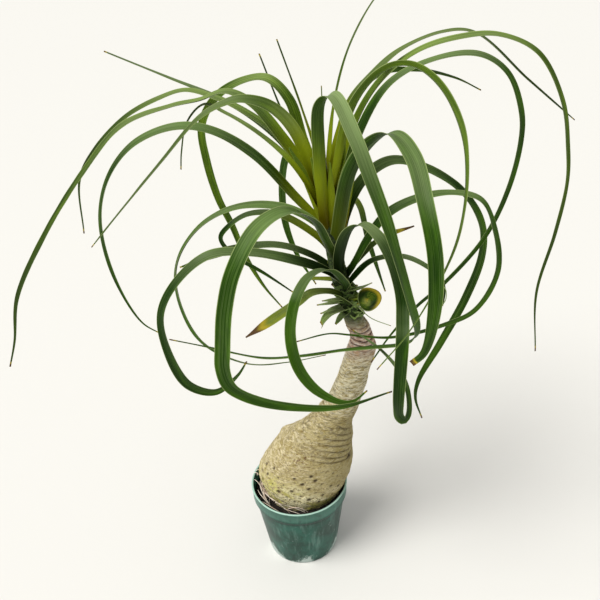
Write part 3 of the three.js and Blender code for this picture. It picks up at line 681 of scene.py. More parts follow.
def bark_material():
    """Khaki cork: tan and ochre blotches, pale fibres and brown grain, an olive tint that is also painted
    shade on the right-hand side away from the sun, dark scars and cracks, lichen on the trunk, moss and
    chalk with crevices low down, brown scabs, a pinkish ringed neck, a green crown and dark pits.
    """
    material, tree, output = new_material("corky_bark")
    place = place_of(tree)
    mark = {name: attribute_of(tree, name) for name in
            ("pit", "scar", "neck", "ring", "crown", "moss", "chalk", "shade", "scab", "foot")}
    colour, _ = mottled(tree, place, BARK_TAN, BARK_OCHRE, 110.0, 0.9)
    fibre = stretched_noise(tree, place, (1.0, 1.0, 3.6), 170.0, 6.0, 0.76)
    crumbly = stretched_noise(tree, place, (1.0, 1.0, 1.4), 480.0, 4.0, 0.75)
    contour = stretched_noise(tree, place, (1.0, 1.0, 5.5), 62.0, 4.0, 0.55)
    grain = stretched_noise(tree, place, (1.0, 1.0, 1.8), 300.0, 3.0, 0.6)
    colour = paint(tree, colour, BARK_PALE, fade(tree, fibre, 0.49, 0.57), 0.9)
    colour = paint(tree, colour, BARK_GRAIN, fade(tree, grain, 0.46, 0.37), 0.5)
    # An olive tint with painted shade, laid on the right-hand side by the shade mark.
    colour = paint(tree, colour, OLIVE_AND_SHADE, times(tree, mark["shade"], fade(tree, fibre, 0.25, 0.6)), 0.62)
    off_line = calculate(tree, "ABSOLUTE", calculate(tree, "SUBTRACT", contour, 0.5))
    broken_line = times(tree, fade(tree, off_line, 0.028, 0.004), fade(tree, crumbly, 0.42, 0.54))
    crack = times(tree, broken_line, calculate(tree, "SUBTRACT", 1.0, times(tree, mark["foot"], 0.6)))
    scar = calculate(tree, "MAXIMUM", times(tree, mark["scar"], 0.7), crack)
    colour = paint(tree, colour, SCAR_BROWN, scar, 0.75)
    trunk = calculate(tree, "SUBTRACT", 1.0, mark["foot"])
    lichen = times(tree, fade(tree, trunk, 0.8, 1.0), fade(tree, fibre, 0.44, 0.54))
    colour = paint(tree, colour, LICHEN, lichen, 0.85)
    colour = paint(tree, colour, MOSS, times(tree, mark["moss"], fade(tree, grain, 0.42, 0.54)), 0.9)
    colour = paint(tree, colour, CHALK, times(tree, mark["chalk"], fade(tree, grain, 0.42, 0.5)))
    crust = calculate(tree, "MAXIMUM", mark["chalk"], mark["moss"])
    colour = paint(tree, colour, CREVICE, times(tree, crust, fade(tree, crumbly, 0.46, 0.41)), 0.65)
    colour = paint(tree, colour, SCAB_BROWN, times(tree, fade(tree, crumbly, 0.54, 0.6), mark["scab"]), 0.85)
    neck_tone = mix_colour(tree, fade(tree, fibre, 0.42, 0.66), *NECK_TONES)
    colour = paint(tree, colour, neck_tone, mark["neck"], 0.85)
    crown_tone = mix_colour(tree, fade(tree, crumbly, 0.4, 0.62), *CROWN_TONES)
    colour = paint(tree, colour, crown_tone, mark["crown"])
    colour = paint(tree, colour, RING_BROWN, times(tree, mark["ring"], fade(tree, fibre, 0.36, 0.5)))
    colour = paint(tree, colour, PIT_BROWN, mark["pit"], 0.9)
    rough_bark = calculate(tree, "ADD", times(tree, crumbly, 0.9), fibre)
    relief = calculate(tree, "SUBTRACT", rough_bark, times(tree, crack, 0.6))
    finish_material(tree, output, colour, 0.85, relief, 1.0, 0.002)
    return material


def stem_piece(name, low, high, rows, columns, material):
    """A closed length of the stem between two heights, of rows rings with columns points each."""
    z, angle = np.meshgrid(np.linspace(low, high, rows), np.linspace(-180, 180, columns, endpoint=False),
                           indexing="ij")
    points, marks = stem_surface(z, angle)
    return new_piece(name, points.reshape(-1, 3), skin(rows, columns), material, values=marks)


bark = bark_material()
foot_piece = stem_piece("swollen_foot", STEM_FROM, CAUDEX_TOP, 250, 372, bark)
trunk_piece = stem_piece("trunk_and_crown", CAUDEX_TOP, STEM_TO, 400, 120, bark)
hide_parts("swollen_stem")
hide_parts("swollen_stem")


# ---- Roots ----
# Fine feeder roots that the watering has washed bare. They leave the foot at the soil, run round it
# in the gap between foot and pot, and dive back into the peat.

def tube_rings(path, radius, sides):
    """Rings (steps, sides, 3) round a path of points (steps, 3) with a radius for each step.

    Each ring lies in the plane across the path, spanned by the vectors level and upright.
    """
    tangent = np.gradient(path, axis=0)
    tangent /= np.linalg.norm(tangent, axis=1, keepdims=True)
    level = np.cross(tangent, [0.02, 0.03, 1.0])
    level /= np.linalg.norm(level, axis=1, keepdims=True)
    upright = np.cross(level, tangent)
    angle = np.linspace(0, 2 * np.pi, sides, endpoint=False)[None, :, None]
    spread = np.cos(angle) * level[:, None] + np.sin(angle) * upright[:, None]
    return path[:, None] + spread * np.broadcast_to(radius, len(path))[:, None, None]


# Loose ends that stand up at the lip: their start in the soil, a point they bend towards, their end.
LOOSE_ENDS = [
    [(-38, 16, 80), (-44, 17, 100), (-49, 15, 95)],
    [(-40, 8, 80), (-45, 8, 102), (-51.5, 10, 97)],
    [(-40, 12, 79), (-47, 14, 97), (-47, 4, 99)],
    [(-41, -2, 79), (-46, -4, 97), (-50.5, 2, 94.5)],
    [(-38, -14, 79), (-46, -10, 94), (-44, 2, 92)],
    [(-34, -22, 79), (-44, -22, 93), (-47, -8, 88)],
    [(-24, -34, 79), (-32, -38, 92), (-42, -24, 86)],
]


ROOT_SIDE = -165
ROOT_GAP = 1.5
LOOSE_RADIUS = 0.55


def bare_roots(count, sides=6, steps=18):
    """Seeded roots round the foot, most of them in the wide gap at the left and in front.

    A root runs round the foot through an angle, leaves it by a few millimetres, humps over the soil
    as sin(pi t) and ends under the soil. A loose end follows the curve a(1-t)^2 + 2b t(1-t) + c t^2.
    """
    rng = np.random.default_rng(41)
    centre, half_x, half_y = stem_section(np.array([SOIL_LEVEL + 2.0]))[0]
    points = []
    faces = []
    t = np.linspace(0, 1, steps)
    for root in range(count):
        start = rng.normal(ROOT_SIDE, 42)
        sweep = rng.uniform(18, 60) * rng.choice([1, 1, -1])
        angle = np.radians(start + sweep * t)
        level = SOIL_LEVEL + rng.uniform(-3, 3) + rng.uniform(2.0, 11.0) * np.sin(np.pi * t) - 8 * t ** 4
        out = rng.uniform(0.5, 7.0) * np.sin(np.pi * t * 0.8) + 0.4 * wave_noise(50 + root, 0.12, t)
        x = centre + (half_x + out) * np.cos(angle)
        y = (half_y + out) * np.sin(angle)
        held = np.minimum(1, (SOIL_RADIUS - ROOT_GAP) / np.hypot(x, y))
        path = np.stack([x * held, y * held, level], axis=-1) * MM
        radius = rng.uniform(0.3, 0.65) * MM * (1 - 0.6 * t)
        faces += skin(steps, sides, start=len(points) * steps * sides)
        points.append(tube_rings(path, radius, sides).reshape(-1, 3))
    for first, middle, last in np.array(LOOSE_ENDS):
        path = np.outer((1 - t) ** 2, first) + np.outer(2 * t * (1 - t), middle) + np.outer(t ** 2, last)
        faces += skin(steps, sides, start=len(points) * steps * sides)
        points.append(tube_rings(path * MM, LOOSE_RADIUS * MM * (1 - 0.5 * t), sides).reshape(-1, 3))
    return new_piece("bare_roots", np.concatenate(points), faces, root_skin)


ROOT_PALE = rgb(250, 238, 222)
ROOT_STAIN = rgb(186, 142, 112)
root_skin = speckled_material("root_skin", ROOT_PALE, ROOT_STAIN, 80.0, 0.6, 0.6, 0.4, 0.0003)
bare_roots(26)


# ---- Leaves ----
# Tough fibrous straps, channelled along the middle, with parallel veins and thin edges with a painted
# highlight. The upper side has pale stripes of waxy bloom and painted sheen where it faces up, the base is
# pale where the bud hid it, and old tips dry to brown.

# Each leaf: its widths in millimetres and the rolls about its own rib in degrees, both evenly spaced
# from base to tip, the route of its rib from the middle of the crown to the tip in millimetres, and
# the direction that the blade squares up to, in degrees from +X, where that isn't the way it sets off.
LEAVES = {
    # long arches to the left
    "leaf_left_1": ([7, 11, 11, 9, 6, 4.5, 1.5], [-20, -20, 10, -10, -35, -70, -75],
        [(45.9, 0, 403), (38.5, 4.5, 425), (27, 12, 451), (8, 20, 480), (-16, 31, 508),
         (-38, 36, 519), (-62, 40, 512.5), (-89, 42, 508), (-135, 44, 493), (-175, 39, 456),
         (-223, 33, 399), (-265, 28, 335), (-279, 24, 287), (-291, 22, 257)]),
    "leaf_left_2": ([5.5, 9, 9, 7.5, 5, 3, 1.5], [-20, -15, 0, -10, -45, -70, -70],
        [(47, 0, 388), (32, 10, 434), (6, 34, 475), (-24, 53, 496), (-51, 67, 507), (-79, 82, 512),
         (-104, 85, 506), (-141, 90, 489), (-176, 88, 460), (-196, 86, 431), (-202, 80, 376)]),
    "leaf_left_3": ([6.5, 8.5, 6.5, 3.5, 1.5], [-15, -15, -5, 0, -20],
        [(47.5, 0, 386), (40, 13.5, 408), (28.5, 31, 438), (8, 50, 467), (-25, 71, 491),
         (-56, 91, 504), (-98, 117, 517), (-166, 160, 538)]),
    "leaf_left_4": ([8.5, 11.5, 11.5, 9.5, 8, 6, 1.5], [-10, -5, 20, -35, -70, -75, -80],
        [(45.7, 0, 395), (39.5, 14, 422), (34.3, 27, 445.5), (25.2, 39, 472), (16, 48, 505),
         (-1, 56, 523), (-22, 66, 521), (-50, 79, 505), (-68, 88, 477), (-68, 88, 442),
         (-61, 85, 403), (-50, 81, 374), (-39, 72, 342), (-22, 59, 312), (-4, 50, 289)]),
    "leaf_left_5": ([3.5, 6.5, 5, 3, 1.5], [-25, -45, -40, -65, -100],
        [(46, 0, 394), (25.7, -6.5, 448.5), (10, -4, 472), (-15, 12, 491), (-40, 30, 503),
         (-59, 44, 508), (-76, 46, 493), (-85, 46, 466), (-88, 46, 449)]),
    "leaf_left_6": ([8, 11, 8, 4.5, 1.5], [-30, -70, -15, -10, -20],
        [(44, 0, 413), (34, -1.5, 447.9), (18, 1, 494), (0, 0, 514), (-22, -3, 522), (-36, -4, 520),
         (-58, -7, 510), (-95, -14, 476), (-147, -25, 426), (-163, -28, 410)]),
    "leaf_left_7": ([6.5, 11.5, 11.5, 9.5, 7, 3.5, 1.5], [-30, -20, -10, -20, -30, -70, -65],
        [(48.5, 0, 374), (35, 3, 405), (14, 8, 431), (-19, 12, 470), (-53, 15, 492), (-83, 16, 497),
         (-121, 18, 484), (-148, 16, 456), (-162, 13, 418), (-160, 8, 363), (-141, 2, 313),
         (-124, 0, 299)]),
    "leaf_left_8": ([6.5, 11, 11, 9.5, 7, 3.5, 1.5], [-25, -50, -35, -40, -75, -70, -70],
        [(51.5, 0, 360), (41.5, -12, 395), (29.5, -13.5, 413.8), (5, -8, 426), (-35, -8, 429),
         (-70, -8, 413), (-95, -9, 379), (-98, -10, 339), (-82, -16, 297), (-41, -24, 274),
         (-2, -32, 278), (35, -40, 289)]),
    "leaf_left_9": ([7.5, 11, 11, 10.5, 9.5, 8.5, 1.5], [-30, -40, -25, -30, -60, -100, -100],
        [(56.5, 0, 336), (38, -14, 364), (8, -30, 386), (-27, -40, 400), (-59, -50, 405),
         (-87, -53, 386), (-106, -55, 357), (-108, -55, 322), (-95, -53, 275), (-71, -50, 262),
         (-49, -47, 277), (-39, -45, 291)]),
    "leaf_left_10": ([6, 9, 8, 8, 1.5], [-20, -10, -25, -55, -65],
        [(53, 0, 350), (26, 3, 372), (-4, 7, 383), (-48, 12, 379), (-98, 15, 363)]),
    "leaf_left_11": ([7, 10, 10, 10, 10, 8.5, 1.5], [-40, -30, -20, -25, -40, -50, -60],
        [(61, 0, 318), (55, -12, 331), (44, -18, 342), (25, -28, 349), (15, -30, 343),
         (-19, -36, 324), (-38, -38, 313)]),

    # leaves that fall forward over the pot
    "leaf_front_1": ([9.5, 14, 14, 14, 12, 7, 1.5], [0, -10, -10, -20, -40, -55, -60],
        [(52, 0, 356), (40, -22, 396), (29, -40, 426), (8, -68, 448), (-15, -94, 446),
         (-34, -112, 421), (-43, -118, 393), (-49, -120, 356), (-51, -120, 339), (-48, -120, 322),
         (-39, -119, 311), (-11, -116, 295), (41, -110, 283), (91, -85, 276)], -125),
    "leaf_front_2": ([7.5, 12, 12, 9.5, 1.5], [0, -5, -15, -60, -75],
        [(57.5, 0, 329), (54, -18, 353), (41, -29, 372), (24, -45, 375), (12, -60, 363),
         (5, -69, 335), (9, -75, 303), (23, -77, 278), (45, -75, 260), (58, -71, 257),
         (71, -66, 264)]),
    "leaf_front_3": ([9, 12, 12, 11, 8, 4, 1.5], [0, -5, 20, -10, -5, -10, -20],
        [(47.5, 0, 388), (42, -10, 418), (39, -15, 479), (41, -20, 517), (50, -36, 528),
         (64, -56, 501), (75, -68, 470), (85, -78, 440), (94, -83, 407), (104, -83, 369),
         (113, -74, 334), (112, -70, 322), (103, -64, 313), (76, -60, 309), (52, -57, 306),
         (11, -51, 298), (-24, -46, 295), (-76, -42, 309), (-108, -40, 318)], -60),
    "leaf_front_4": ([8.5, 11.5, 11.5, 11.5, 10, 5, 1.5], [0, -15, 30, 45, 40, 5, 10],
        [(55.5, 0, 338), (53, -21, 384), (61, -35, 413), (71, -44, 421), (83, -57, 414),
         (93, -64, 395), (100, -72, 365), (99, -85, 348), (97, -97, 334), (94, -106, 304),
         (93, -107, 281), (95, -102, 261), (100, -100, 255), (104, -96, 260), (103, -80, 282),
         (86, -58, 301), (59, -38, 315)], -60),
    "leaf_front_5": ([10.5, 14, 14, 14, 12.5, 11, 5], [0, -5, -10, 35, 30, 40, 60],
        [(51, 0, 362), (54, -7.5, 402.8), (65, -9, 456), (80, -18, 482), (96, -36, 495),
         (108, -64, 485), (111, -104, 463), (115, -128, 427), (113, -140, 387), (107, -138, 353),
         (98, -138, 344)], -65),

    # long arches to the right
    "leaf_right_1": ([6.5, 10, 10, 8, 5.5, 3.5, 1.5], [15, -25, -30, 5, 30, 55, 40],
        [(45.9, 0, 402), (52.2, 10, 421), (58.7, 15, 442.5), (73, 20, 490), (96, 25, 523),
         (127, 27, 544.5), (164, 29, 553), (198, 36, 551), (234, 42, 533), (263, 48, 488),
         (274, 50, 446), (278, 49, 411), (273, 48, 357), (261, 45, 291), (267, 42, 218)]),
    "leaf_right_2": ([5.5, 8, 8, 6.5, 4.5, 2.5, 1.5], [20, 30, 10, 0, 30, 55, 45],
        [(44.2, 0, 420), (53, 6, 462), (67, 11, 508), (89, 19, 530.5), (113, 33, 545),
         (150, 45, 555), (179, 50, 552.5), (234, 62, 507), (288, 75, 462)]),
    "leaf_right_3": ([6.5, 10, 10, 8, 5.5, 4, 1.5], [25, 45, 10, 50, 75, 85, 85],
        [(49, 0, 374), (53.9, -1, 404.5), (58.9, -0.5, 434.8), (76, 3, 489), (101, 5, 525),
         (139, 8, 541), (174, 8, 542), (198, 8, 526), (212, 7, 494), (214, 6, 470), (206, 1, 428),
         (186, -6, 384), (150, -14, 344), (123, -22, 325), (98, -27, 298), (79, -28, 268)]),
    "leaf_right_4": ([5.5, 9, 9, 7.5, 5, 2.5, 1.5], [0, -35, -20, -50, -40, -50, -50],
        [(45.5, 0, 402), (54, -9, 463), (67, -13, 512), (85, -16, 536), (101, -21, 545),
         (116, -26, 544), (133, -40, 531), (146, -58, 503), (147, -78, 468), (139, -96, 432),
         (125, -108, 403), (98, -120, 361), (72, -128, 333)]),
    "leaf_right_5": ([5, 6.5, 6.5, 3.5, 1.5], [10, 5, 5, 10, 5],
        [(45, 0, 406), (47, 12, 428), (54.3, 33, 462), (75, 46, 506), (98, 52, 523), (132, 61, 522),
         (170, 72, 510), (197, 80, 495)]),
    "leaf_right_6": ([8, 11, 11, 9, 8.5, 7, 1.5], [15, 20, 25, 50, 95, 100, 90],
        [(52.5, 0.5, 358), (62, 8.4, 409.9), (79, 20, 437), (105, 30, 449), (140, 39, 436), (178, 48, 406),
         (198, 48, 372), (200, 46, 338), (185, 37, 296), (158, 23, 251), (134, 12, 212),
         (131, 10, 190), (138, 6, 165)]),
    "leaf_right_7": ([6, 9, 9, 7.5, 5, 2.5, 1.5], [25, 50, 10, 40, 70, 75, 65],
        [(55.5, 0, 338), (67, -4, 362), (81, -4, 390), (98, -7, 414), (124, -9, 427),
         (154, -12, 431), (177, -17, 425), (189, -22, 400), (194, -27, 359), (175, -32, 323),
         (146, -34, 310), (98, -34, 300), (61, -32, 304), (40, -30, 306), (8, -28, 298)]),
    "leaf_right_8": ([4.5, 6.5, 6, 4.5, 1.5], [30, 60, 30, 30, 40],
        [(58, 0, 328), (67, -13, 356), (82, -21, 375), (106, -34, 384), (122, -44, 381),
         (138, -50, 368), (141, -53, 357), (139, -56, 344)]),
    "leaf_right_9": ([4, 5, 5, 5, 1.5], [0, 25, 25, 35, 45],
        [(54, 0, 346), (64, 9, 352), (78, 18, 363), (97, 24, 376), (128, 28, 384)]),

    # leaves that stand up or fall behind
    "leaf_back_1": ([3, 4.5, 3.5, 2, 1.5], [0, 0, 25, 15, 10],
        [(42.8, 0, 425), (38, 11, 461), (26, 31, 505), (9, 60, 556)]),
    "leaf_back_2": ([3.5, 5, 3.5, 2, 1.5], [0, -5, -10, -5, 0],
        [(48.8, 0, 376), (41, 26, 412), (27.9, 48.5, 451.2), (10, 84, 484), (-9, 112, 535)]),
    "leaf_back_3": ([3.5, 4.5, 3.5, 2, 1.5], [0, -20, -50, -25, -10],
        [(44.4, 0, 414), (45, 8, 434), (48.2, 20, 458), (56, 32, 506), (70, 42, 548), (95, 70, 581),
         (110, 84, 591)]),
    "leaf_back_4": ([8.5, 11, 8, 7, 1.5], [0, -15, -75, -95, -95],
        [(51, 0, 362), (46, 24, 400), (39, 44, 428), (24, 57, 449), (13, 68, 449), (6, 74, 427),
         (5, 76, 376), (15, 65, 343), (32, 45, 318)]),
    "leaf_back_5": ([6, 7, 6, 4.5, 1.5], [-5, -35, -35, -85, -80],
        [(50, 0, 366), (35, 18, 383), (1, 36, 401), (-30, 45, 400), (-51, 45, 388), (-59, 45, 377),
         (-50, 42, 361), (-18, 30, 342), (9, 20, 324)]),
    "leaf_back_6": ([4.5, 7, 6, 5, 1.5], [0, -10, -25, -30, -30],
        [(49, 0, 374), (61, 22, 396), (71, 43, 409), (79, 52, 396), (87, 60, 359), (98, 55, 320),
         (104, 52, 300)]),
    "leaf_heart_1": ([4, 6.5, 5, 3, 1.5], [0, 35, 60, 60, 50],
        [(43.5, 0, 428), (44, 1, 465), (44, 5, 500), (44, 9, 526)], -90),
}
BLADE_THICKNESS = 0.7
BLADE_CHANNEL = 0.16
BLADE_TIP_WIDTH = 0.9
BLADE_RIPPLE = 0.35
BLADE_WANDER = 7
BASE_REACH = 34
YOUNG_REACH = 75
SHADED_REACH = 60
STEPS_PER_MM = 0.36
ACROSS = 13


def follow(route, steps):
    """Evenly spaced points (steps, 3) on the centripetal Catmull-Rom curve through a route, in metres.

    With knots d = |p[i+1] - p[i]|^0.5, the slope at p[i] is (p[i] - p[i-1])/d[i-1]
    - (p[i+1] - p[i-1])/(d[i-1] + d[i]) + (p[i+1] - p[i])/d[i], and each stretch is a cubic.
    """
    marks = np.array(route, dtype=float) * MM
    points = np.vstack([2 * marks[0] - marks[1], marks, 2 * marks[-1] - marks[-2]])
    knot = np.sqrt(np.linalg.norm(np.diff(points, axis=0), axis=1))[:, None]
    slope = ((points[1:-1] - points[:-2]) / knot[:-1] - (points[2:] - points[:-2]) / (knot[:-1] + knot[1:])
             + (points[2:] - points[1:-1]) / knot[1:])
    t = np.linspace(0, 1, 40, endpoint=False)[None, :, None]
    near, far = marks[:-1, None], marks[1:, None]
    leave, arrive = (slope[:-1] * knot[1:-1])[:, None], (slope[1:] * knot[1:-1])[:, None]
    fine = (near * (1 + 2 * t) * (1 - t) ** 2 + far * t * t * (3 - 2 * t)
            + leave * t * (1 - t) ** 2 + arrive * t * t * (t - 1)).reshape(-1, 3)
    fine = np.vstack([fine, marks[-1]])
    along = np.concatenate([[0], np.cumsum(np.linalg.norm(np.diff(fine, axis=0), axis=1))])
    even = np.linspace(0, along[-1], steps)
    return np.stack([np.interp(even, along, fine[:, axis]) for axis in range(3)], axis=-1), even


def carried_frame(path, facing, roll):
    """Unit vectors across and up along a path, carried without twist and then rolled, (steps, 3) each."""
    tangent = np.gradient(path, axis=0)
    tangent /= np.linalg.norm(tangent, axis=1, keepdims=True)
    side = np.array([-math.sin(facing), math.cos(facing), 0.0])
    sides = np.empty_like(path)
    for row, along in enumerate(tangent):
        side = side - along * side.dot(along)
        side = side / np.linalg.norm(side)
        sides[row] = side
    angle = np.radians(roll)[:, None]
    across = sides * np.cos(angle) + np.cross(tangent, sides) * np.sin(angle)
    return across, np.cross(tangent, across)


def eased(t, values):
    """Values spaced evenly along t from 0 to 1, joined by a Catmull-Rom curve."""
    place = t * (len(values) - 1)
    k = np.clip(np.floor(place).astype(int), 0, len(values) - 2)
    u = place - k
    row = np.concatenate([values[:1], values, values[-1:]]).astype(float)
    a, b, c, d = (row[k + i] for i in range(4))
    return b + 0.5 * u * (c - a + u * (2 * a - 5 * b + 4 * c - d + u * (3 * (b - c) + d - a)))


def blade(route, widths, roll=(0, 0), heading=None, steps=None, seed=0, flare=0.35, clasp=0.25, dry=0.03,
          tone=0.0, young=1.0, painted_sheen=0.0, faded=0.0, start=0):
    """A strap leaf as points, faces, UVs and marks.

    Across the blade s runs from -1 to 1, and the surface rises by width * channel * |s|^1.4. Widths and
    rolls are spaced evenly from base to tip and eased between. The base is widened by flare and its
    channel deepened by clasp, to wrap the crown. The edges ripple a little. The marks say how dry the
    tip is, how young the base, how light the tone, where the upper side gets painted sheen, and where the
    blade is dull.
    """
    steps = steps or int(30 + STEPS_PER_MM * np.sum(np.linalg.norm(np.diff(route, axis=0), axis=1)))
    path, along = follow(route, steps)
    t = along / along[-1]
    set_off = math.atan2(route[2][1] - route[0][1], route[2][0] - route[0][0])
    facing = set_off if heading is None else math.radians(heading)
    rolls = eased(t, roll)
    settled = np.clip(along / 0.08 - 0.5, 0, 1)
    rolls = rolls + BLADE_WANDER * settled * wave_noise(seed + 300, 0.045, along)
    across, up = carried_frame(path, facing, rolls)
    root = np.exp(-(along / (BASE_REACH * MM)) ** 2)
    half = (np.maximum(BLADE_TIP_WIDTH, eased(t, widths) * (1 + flare * root)) / 2 * MM)[:, None]
    channel = (BLADE_CHANNEL + clasp * root + 0.03 * wave_noise(seed + 301, 0.04, along))[:, None]
    ripple = BLADE_RIPPLE * MM * wave_noise(seed + 302, 0.011, along)[:, None]
    t, along = t[:, None], along[:, None]

    s = np.sin(np.linspace(-0.5, 0.5, ACROSS) * np.pi)
    ring_s = np.concatenate([s, s[::-1]])[None, :]
    face = np.concatenate([np.ones(ACROSS), -np.ones(ACROSS)])[None, :]
    edge = np.abs(ring_s)
    thickness = BLADE_THICKNESS * MM * (1 - 0.62 * edge ** 3) * np.clip(half / (2.2 * MM), 0.45, 1)
    rise = 2 * half * channel * edge ** 1.4 + ripple * ring_s ** 3 + face * thickness / 2
    points = path[:, None] + across[:, None] * (half * ring_s)[..., None] + up[:, None] * rise[..., None]
    # Painted sheen: the upper side is painted paler where the blade faces up, on the crests of its arches.
    crest = np.clip((up[:, 2:] - 0.55) / 0.4, 0, 1)
    crisp = np.clip((t - 1 + dry) / max(dry, 1e-4) * 1.6 + 0.25 * edge, 0, 1)
    marks = {
        "dry": crisp * (t > 1 - 1.5 * dry),
        "young": np.exp(-(along / (YOUNG_REACH * MM)) ** 2) * young,
        "tone": tone - (1 - young) * np.exp(-(along / (SHADED_REACH * MM)) ** 2),
        "bloom": np.clip((crest * 0.5 + painted_sheen * bell(t, 0.27, 0.085)) * (face > 0), 0, 1),
        "faded": np.clip((t - 0.35) / 0.45, 0, 1) * faded,
        "underside": face < 0,
    }
    marks = {name: np.broadcast_to(mark, rise.shape) for name, mark in marks.items()}
    uv = np.stack(np.broadcast_arrays(ring_s * 0.5 + 0.5, along + seed * 0.37), axis=-1)
    return points.reshape(-1, 3), skin(steps, 2 * ACROSS, start), uv.reshape(-1, 2), marks


FURROW = rgb(6, 32, 0)
DULL_END = rgb(42, 58, 30)
SHADED_BASE = rgb(6, 26, 0)
RIM_HIGHLIGHT = rgb(170, 184, 120)
YOUNG_OLIVE = rgb(126, 140, 16)
YOUNG_BROWN = rgb(96, 88, 2)
DRYING = rgb(164, 148, 40)
DRIED = rgb(88, 66, 42)


def leaf_skin_group():
    """Shared leaf skin: veins with pale stripes of bloom and dark furrows along the blade, a dull outer end,
    painted sheen on the arches, a shaded base, a darker rib, painted highlights on the rims, an olive base
    that the bud kept and a dry brown tip.
    """
    group, given, made = new_group(
        "leaf_skin",
        {"Deep": "NodeSocketColor", "Fresh": "NodeSocketColor", "Bloom": "NodeSocketColor"},
        {"Colour": "NodeSocketColor", "Veins": "NodeSocketFloat", "Roughness": "NodeSocketFloat"},
    )
    uv = add_node(group, "ShaderNodeUVMap", {"uv_map": "surface"}).outputs["UV"]
    split = add_node(group, "ShaderNodeSeparateXYZ", Vector=uv)
    from_rib = calculate(group, "ABSOLUTE", calculate(group, "SUBTRACT", split.outputs["X"], 0.5))
    off_rib = calculate(group, "MULTIPLY", from_rib, 2.0)
    veins = stretched_noise(group, uv, (26.0, 5.0, 1.0), 1.0, 3.0, 0.6)
    wander = stretched_noise(group, uv, (1.2, 16.0, 1.0), 1.0, 4.0, 0.55)
    tone = calculate(group, "ADD", fade(group, wander, 0.35, 0.75), attribute_of(group, "tone"), clamp=True)
    colour = mix_colour(group, tone, given["Deep"], given["Fresh"])
    colour = paint(group, colour, given["Bloom"], fade(group, veins, 0.48, 0.66), 0.2)
    colour = paint(group, colour, FURROW, fade(group, veins, 0.5, 0.36), 0.5)
    colour = paint(group, colour, DULL_END, attribute_of(group, "faded"), 0.8)
    # Painted sheen on the crests and shoulders, in the bloom colour.
    sheen_mask = times(group, attribute_of(group, "bloom"), fade(group, veins, 0.1, 0.6))
    colour = paint(group, colour, given["Bloom"], sheen_mask, 0.8)
    colour = paint(group, colour, SHADED_BASE, fade(group, attribute_of(group, "tone"), -0.25, -0.8), 0.85)
    colour = paint(group, colour, given["Bloom"], attribute_of(group, "underside"), 0.04)
    colour = paint(group, colour, given["Deep"], fade(group, off_rib, 0.14, 0.0), 0.14)
    # Painted highlight along both edges of the blade.
    colour = paint(group, colour, RIM_HIGHLIGHT, fade(group, off_rib, 0.9, 0.97), 0.6)
    young = attribute_of(group, "young")
    colour = paint(group, colour, YOUNG_OLIVE, fade(group, young, 0.04, 0.5))
    colour = paint(group, colour, YOUNG_BROWN, fade(group, young, 0.45, 0.95))
    dry = attribute_of(group, "dry")
    colour = paint(group, colour, DRYING, fade(group, dry, 0.0, 0.5))
    colour = paint(group, colour, DRIED, fade(group, dry, 0.5, 1.0))
    rough = calculate(group, "ADD", times(group, veins, 0.15), 0.34)
    rough = calculate(group, "ADD", rough, times(group, dry, 0.3))
    for name, socket in (("Colour", colour), ("Veins", veins), ("Roughness", rough)):
        group.links.new(socket, made[name])
    return group


LEAF_SKIN = leaf_skin_group()


def leaf_material(name, deep, fresh, bloom):
    """A leaf from the shared skin with its own three greens, and a soft wax gloss."""
    material, tree, output = new_material(name)
    surface = add_node(tree, "ShaderNodeGroup", {"node_tree": LEAF_SKIN}, Deep=deep, Fresh=fresh,
                       Bloom=bloom).outputs
    finish_material(tree, output, surface["Colour"], surface["Roughness"], surface["Veins"], 0.35, 0.0003,
                    gloss=0.08)
    return material


green_leaf = leaf_material("green_leaf", rgb(22, 52, 0), rgb(60, 98, 6), rgb(144, 164, 108))
light_leaf = leaf_material("light_leaf", rgb(46, 74, 0), rgb(98, 128, 12), rgb(152, 170, 108))
old_leaf = leaf_material("old_leaf", rgb(48, 78, 10), rgb(120, 132, 24), rgb(160, 170, 90))

# Which leaves are of the lighter green, which are old and yellow, which face the light, how dull an
# outer end is and how much painted sheen a shoulder gets, from 0 to 1.
LIGHT = {"leaf_left_1", "leaf_left_2", "leaf_left_4", "leaf_left_5", "leaf_left_6", "leaf_right_1",
         "leaf_right_2", "leaf_right_4", "leaf_right_5", "leaf_back_3", "leaf_heart_1"}
OLD = {"leaf_left_11", "leaf_right_9"}
LIT = {"leaf_front_1", "leaf_front_2"}
DULL_ENDS = {"leaf_left_1": 0.9, "leaf_left_2": 1, "leaf_left_3": 1, "leaf_left_5": 1, "leaf_left_6": 0.9,
             "leaf_right_1": 0.8, "leaf_right_2": 1, "leaf_right_4": 0.7, "leaf_right_5": 0.8,
             "leaf_back_1": 1, "leaf_back_2": 1, "leaf_back_3": 1}
SHOULDER_SHEEN = {"leaf_front_3": 1.0, "leaf_front_4": 0.3, "leaf_left_6": 0.5, "leaf_right_4": 0.4,
        "leaf_front_5": 0.2}
# A leaf that sets off below the first of these heights has no young base, above the second all of it.
YOUNG_FROM = (350, 388)
OLD_TIP = 0.2
TIP = 0.012
for order, (name, leaf) in enumerate(LEAVES.items()):
    widths, roll, route = leaf[:3]
    look = light_leaf if name in LIGHT else old_leaf if name in OLD else green_leaf
    points, faces, uv, marks = blade(
        route, widths, roll, heading=leaf[3] if len(leaf) > 3 else None, seed=order,
        dry=OLD_TIP if name in OLD else TIP, tone=0.3 * math.sin(order * 2.1) + (0.45 if name in LIT else 0),
        young=np.interp(route[0][2], YOUNG_FROM, (0.0, 1.0)), painted_sheen=SHOULDER_SHEEN.get(name, 0),
        faded=DULL_ENDS.get(name, 0))
    piece = new_piece(name + "_blade", points, faces, look, values=marks, uv=uv)
    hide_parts(name)


# ---- Heart of the crown ----
# The youngest blades are still folded against the spear that they unroll from. They are soft, light
# green and close together, and shut the middle of the crown.

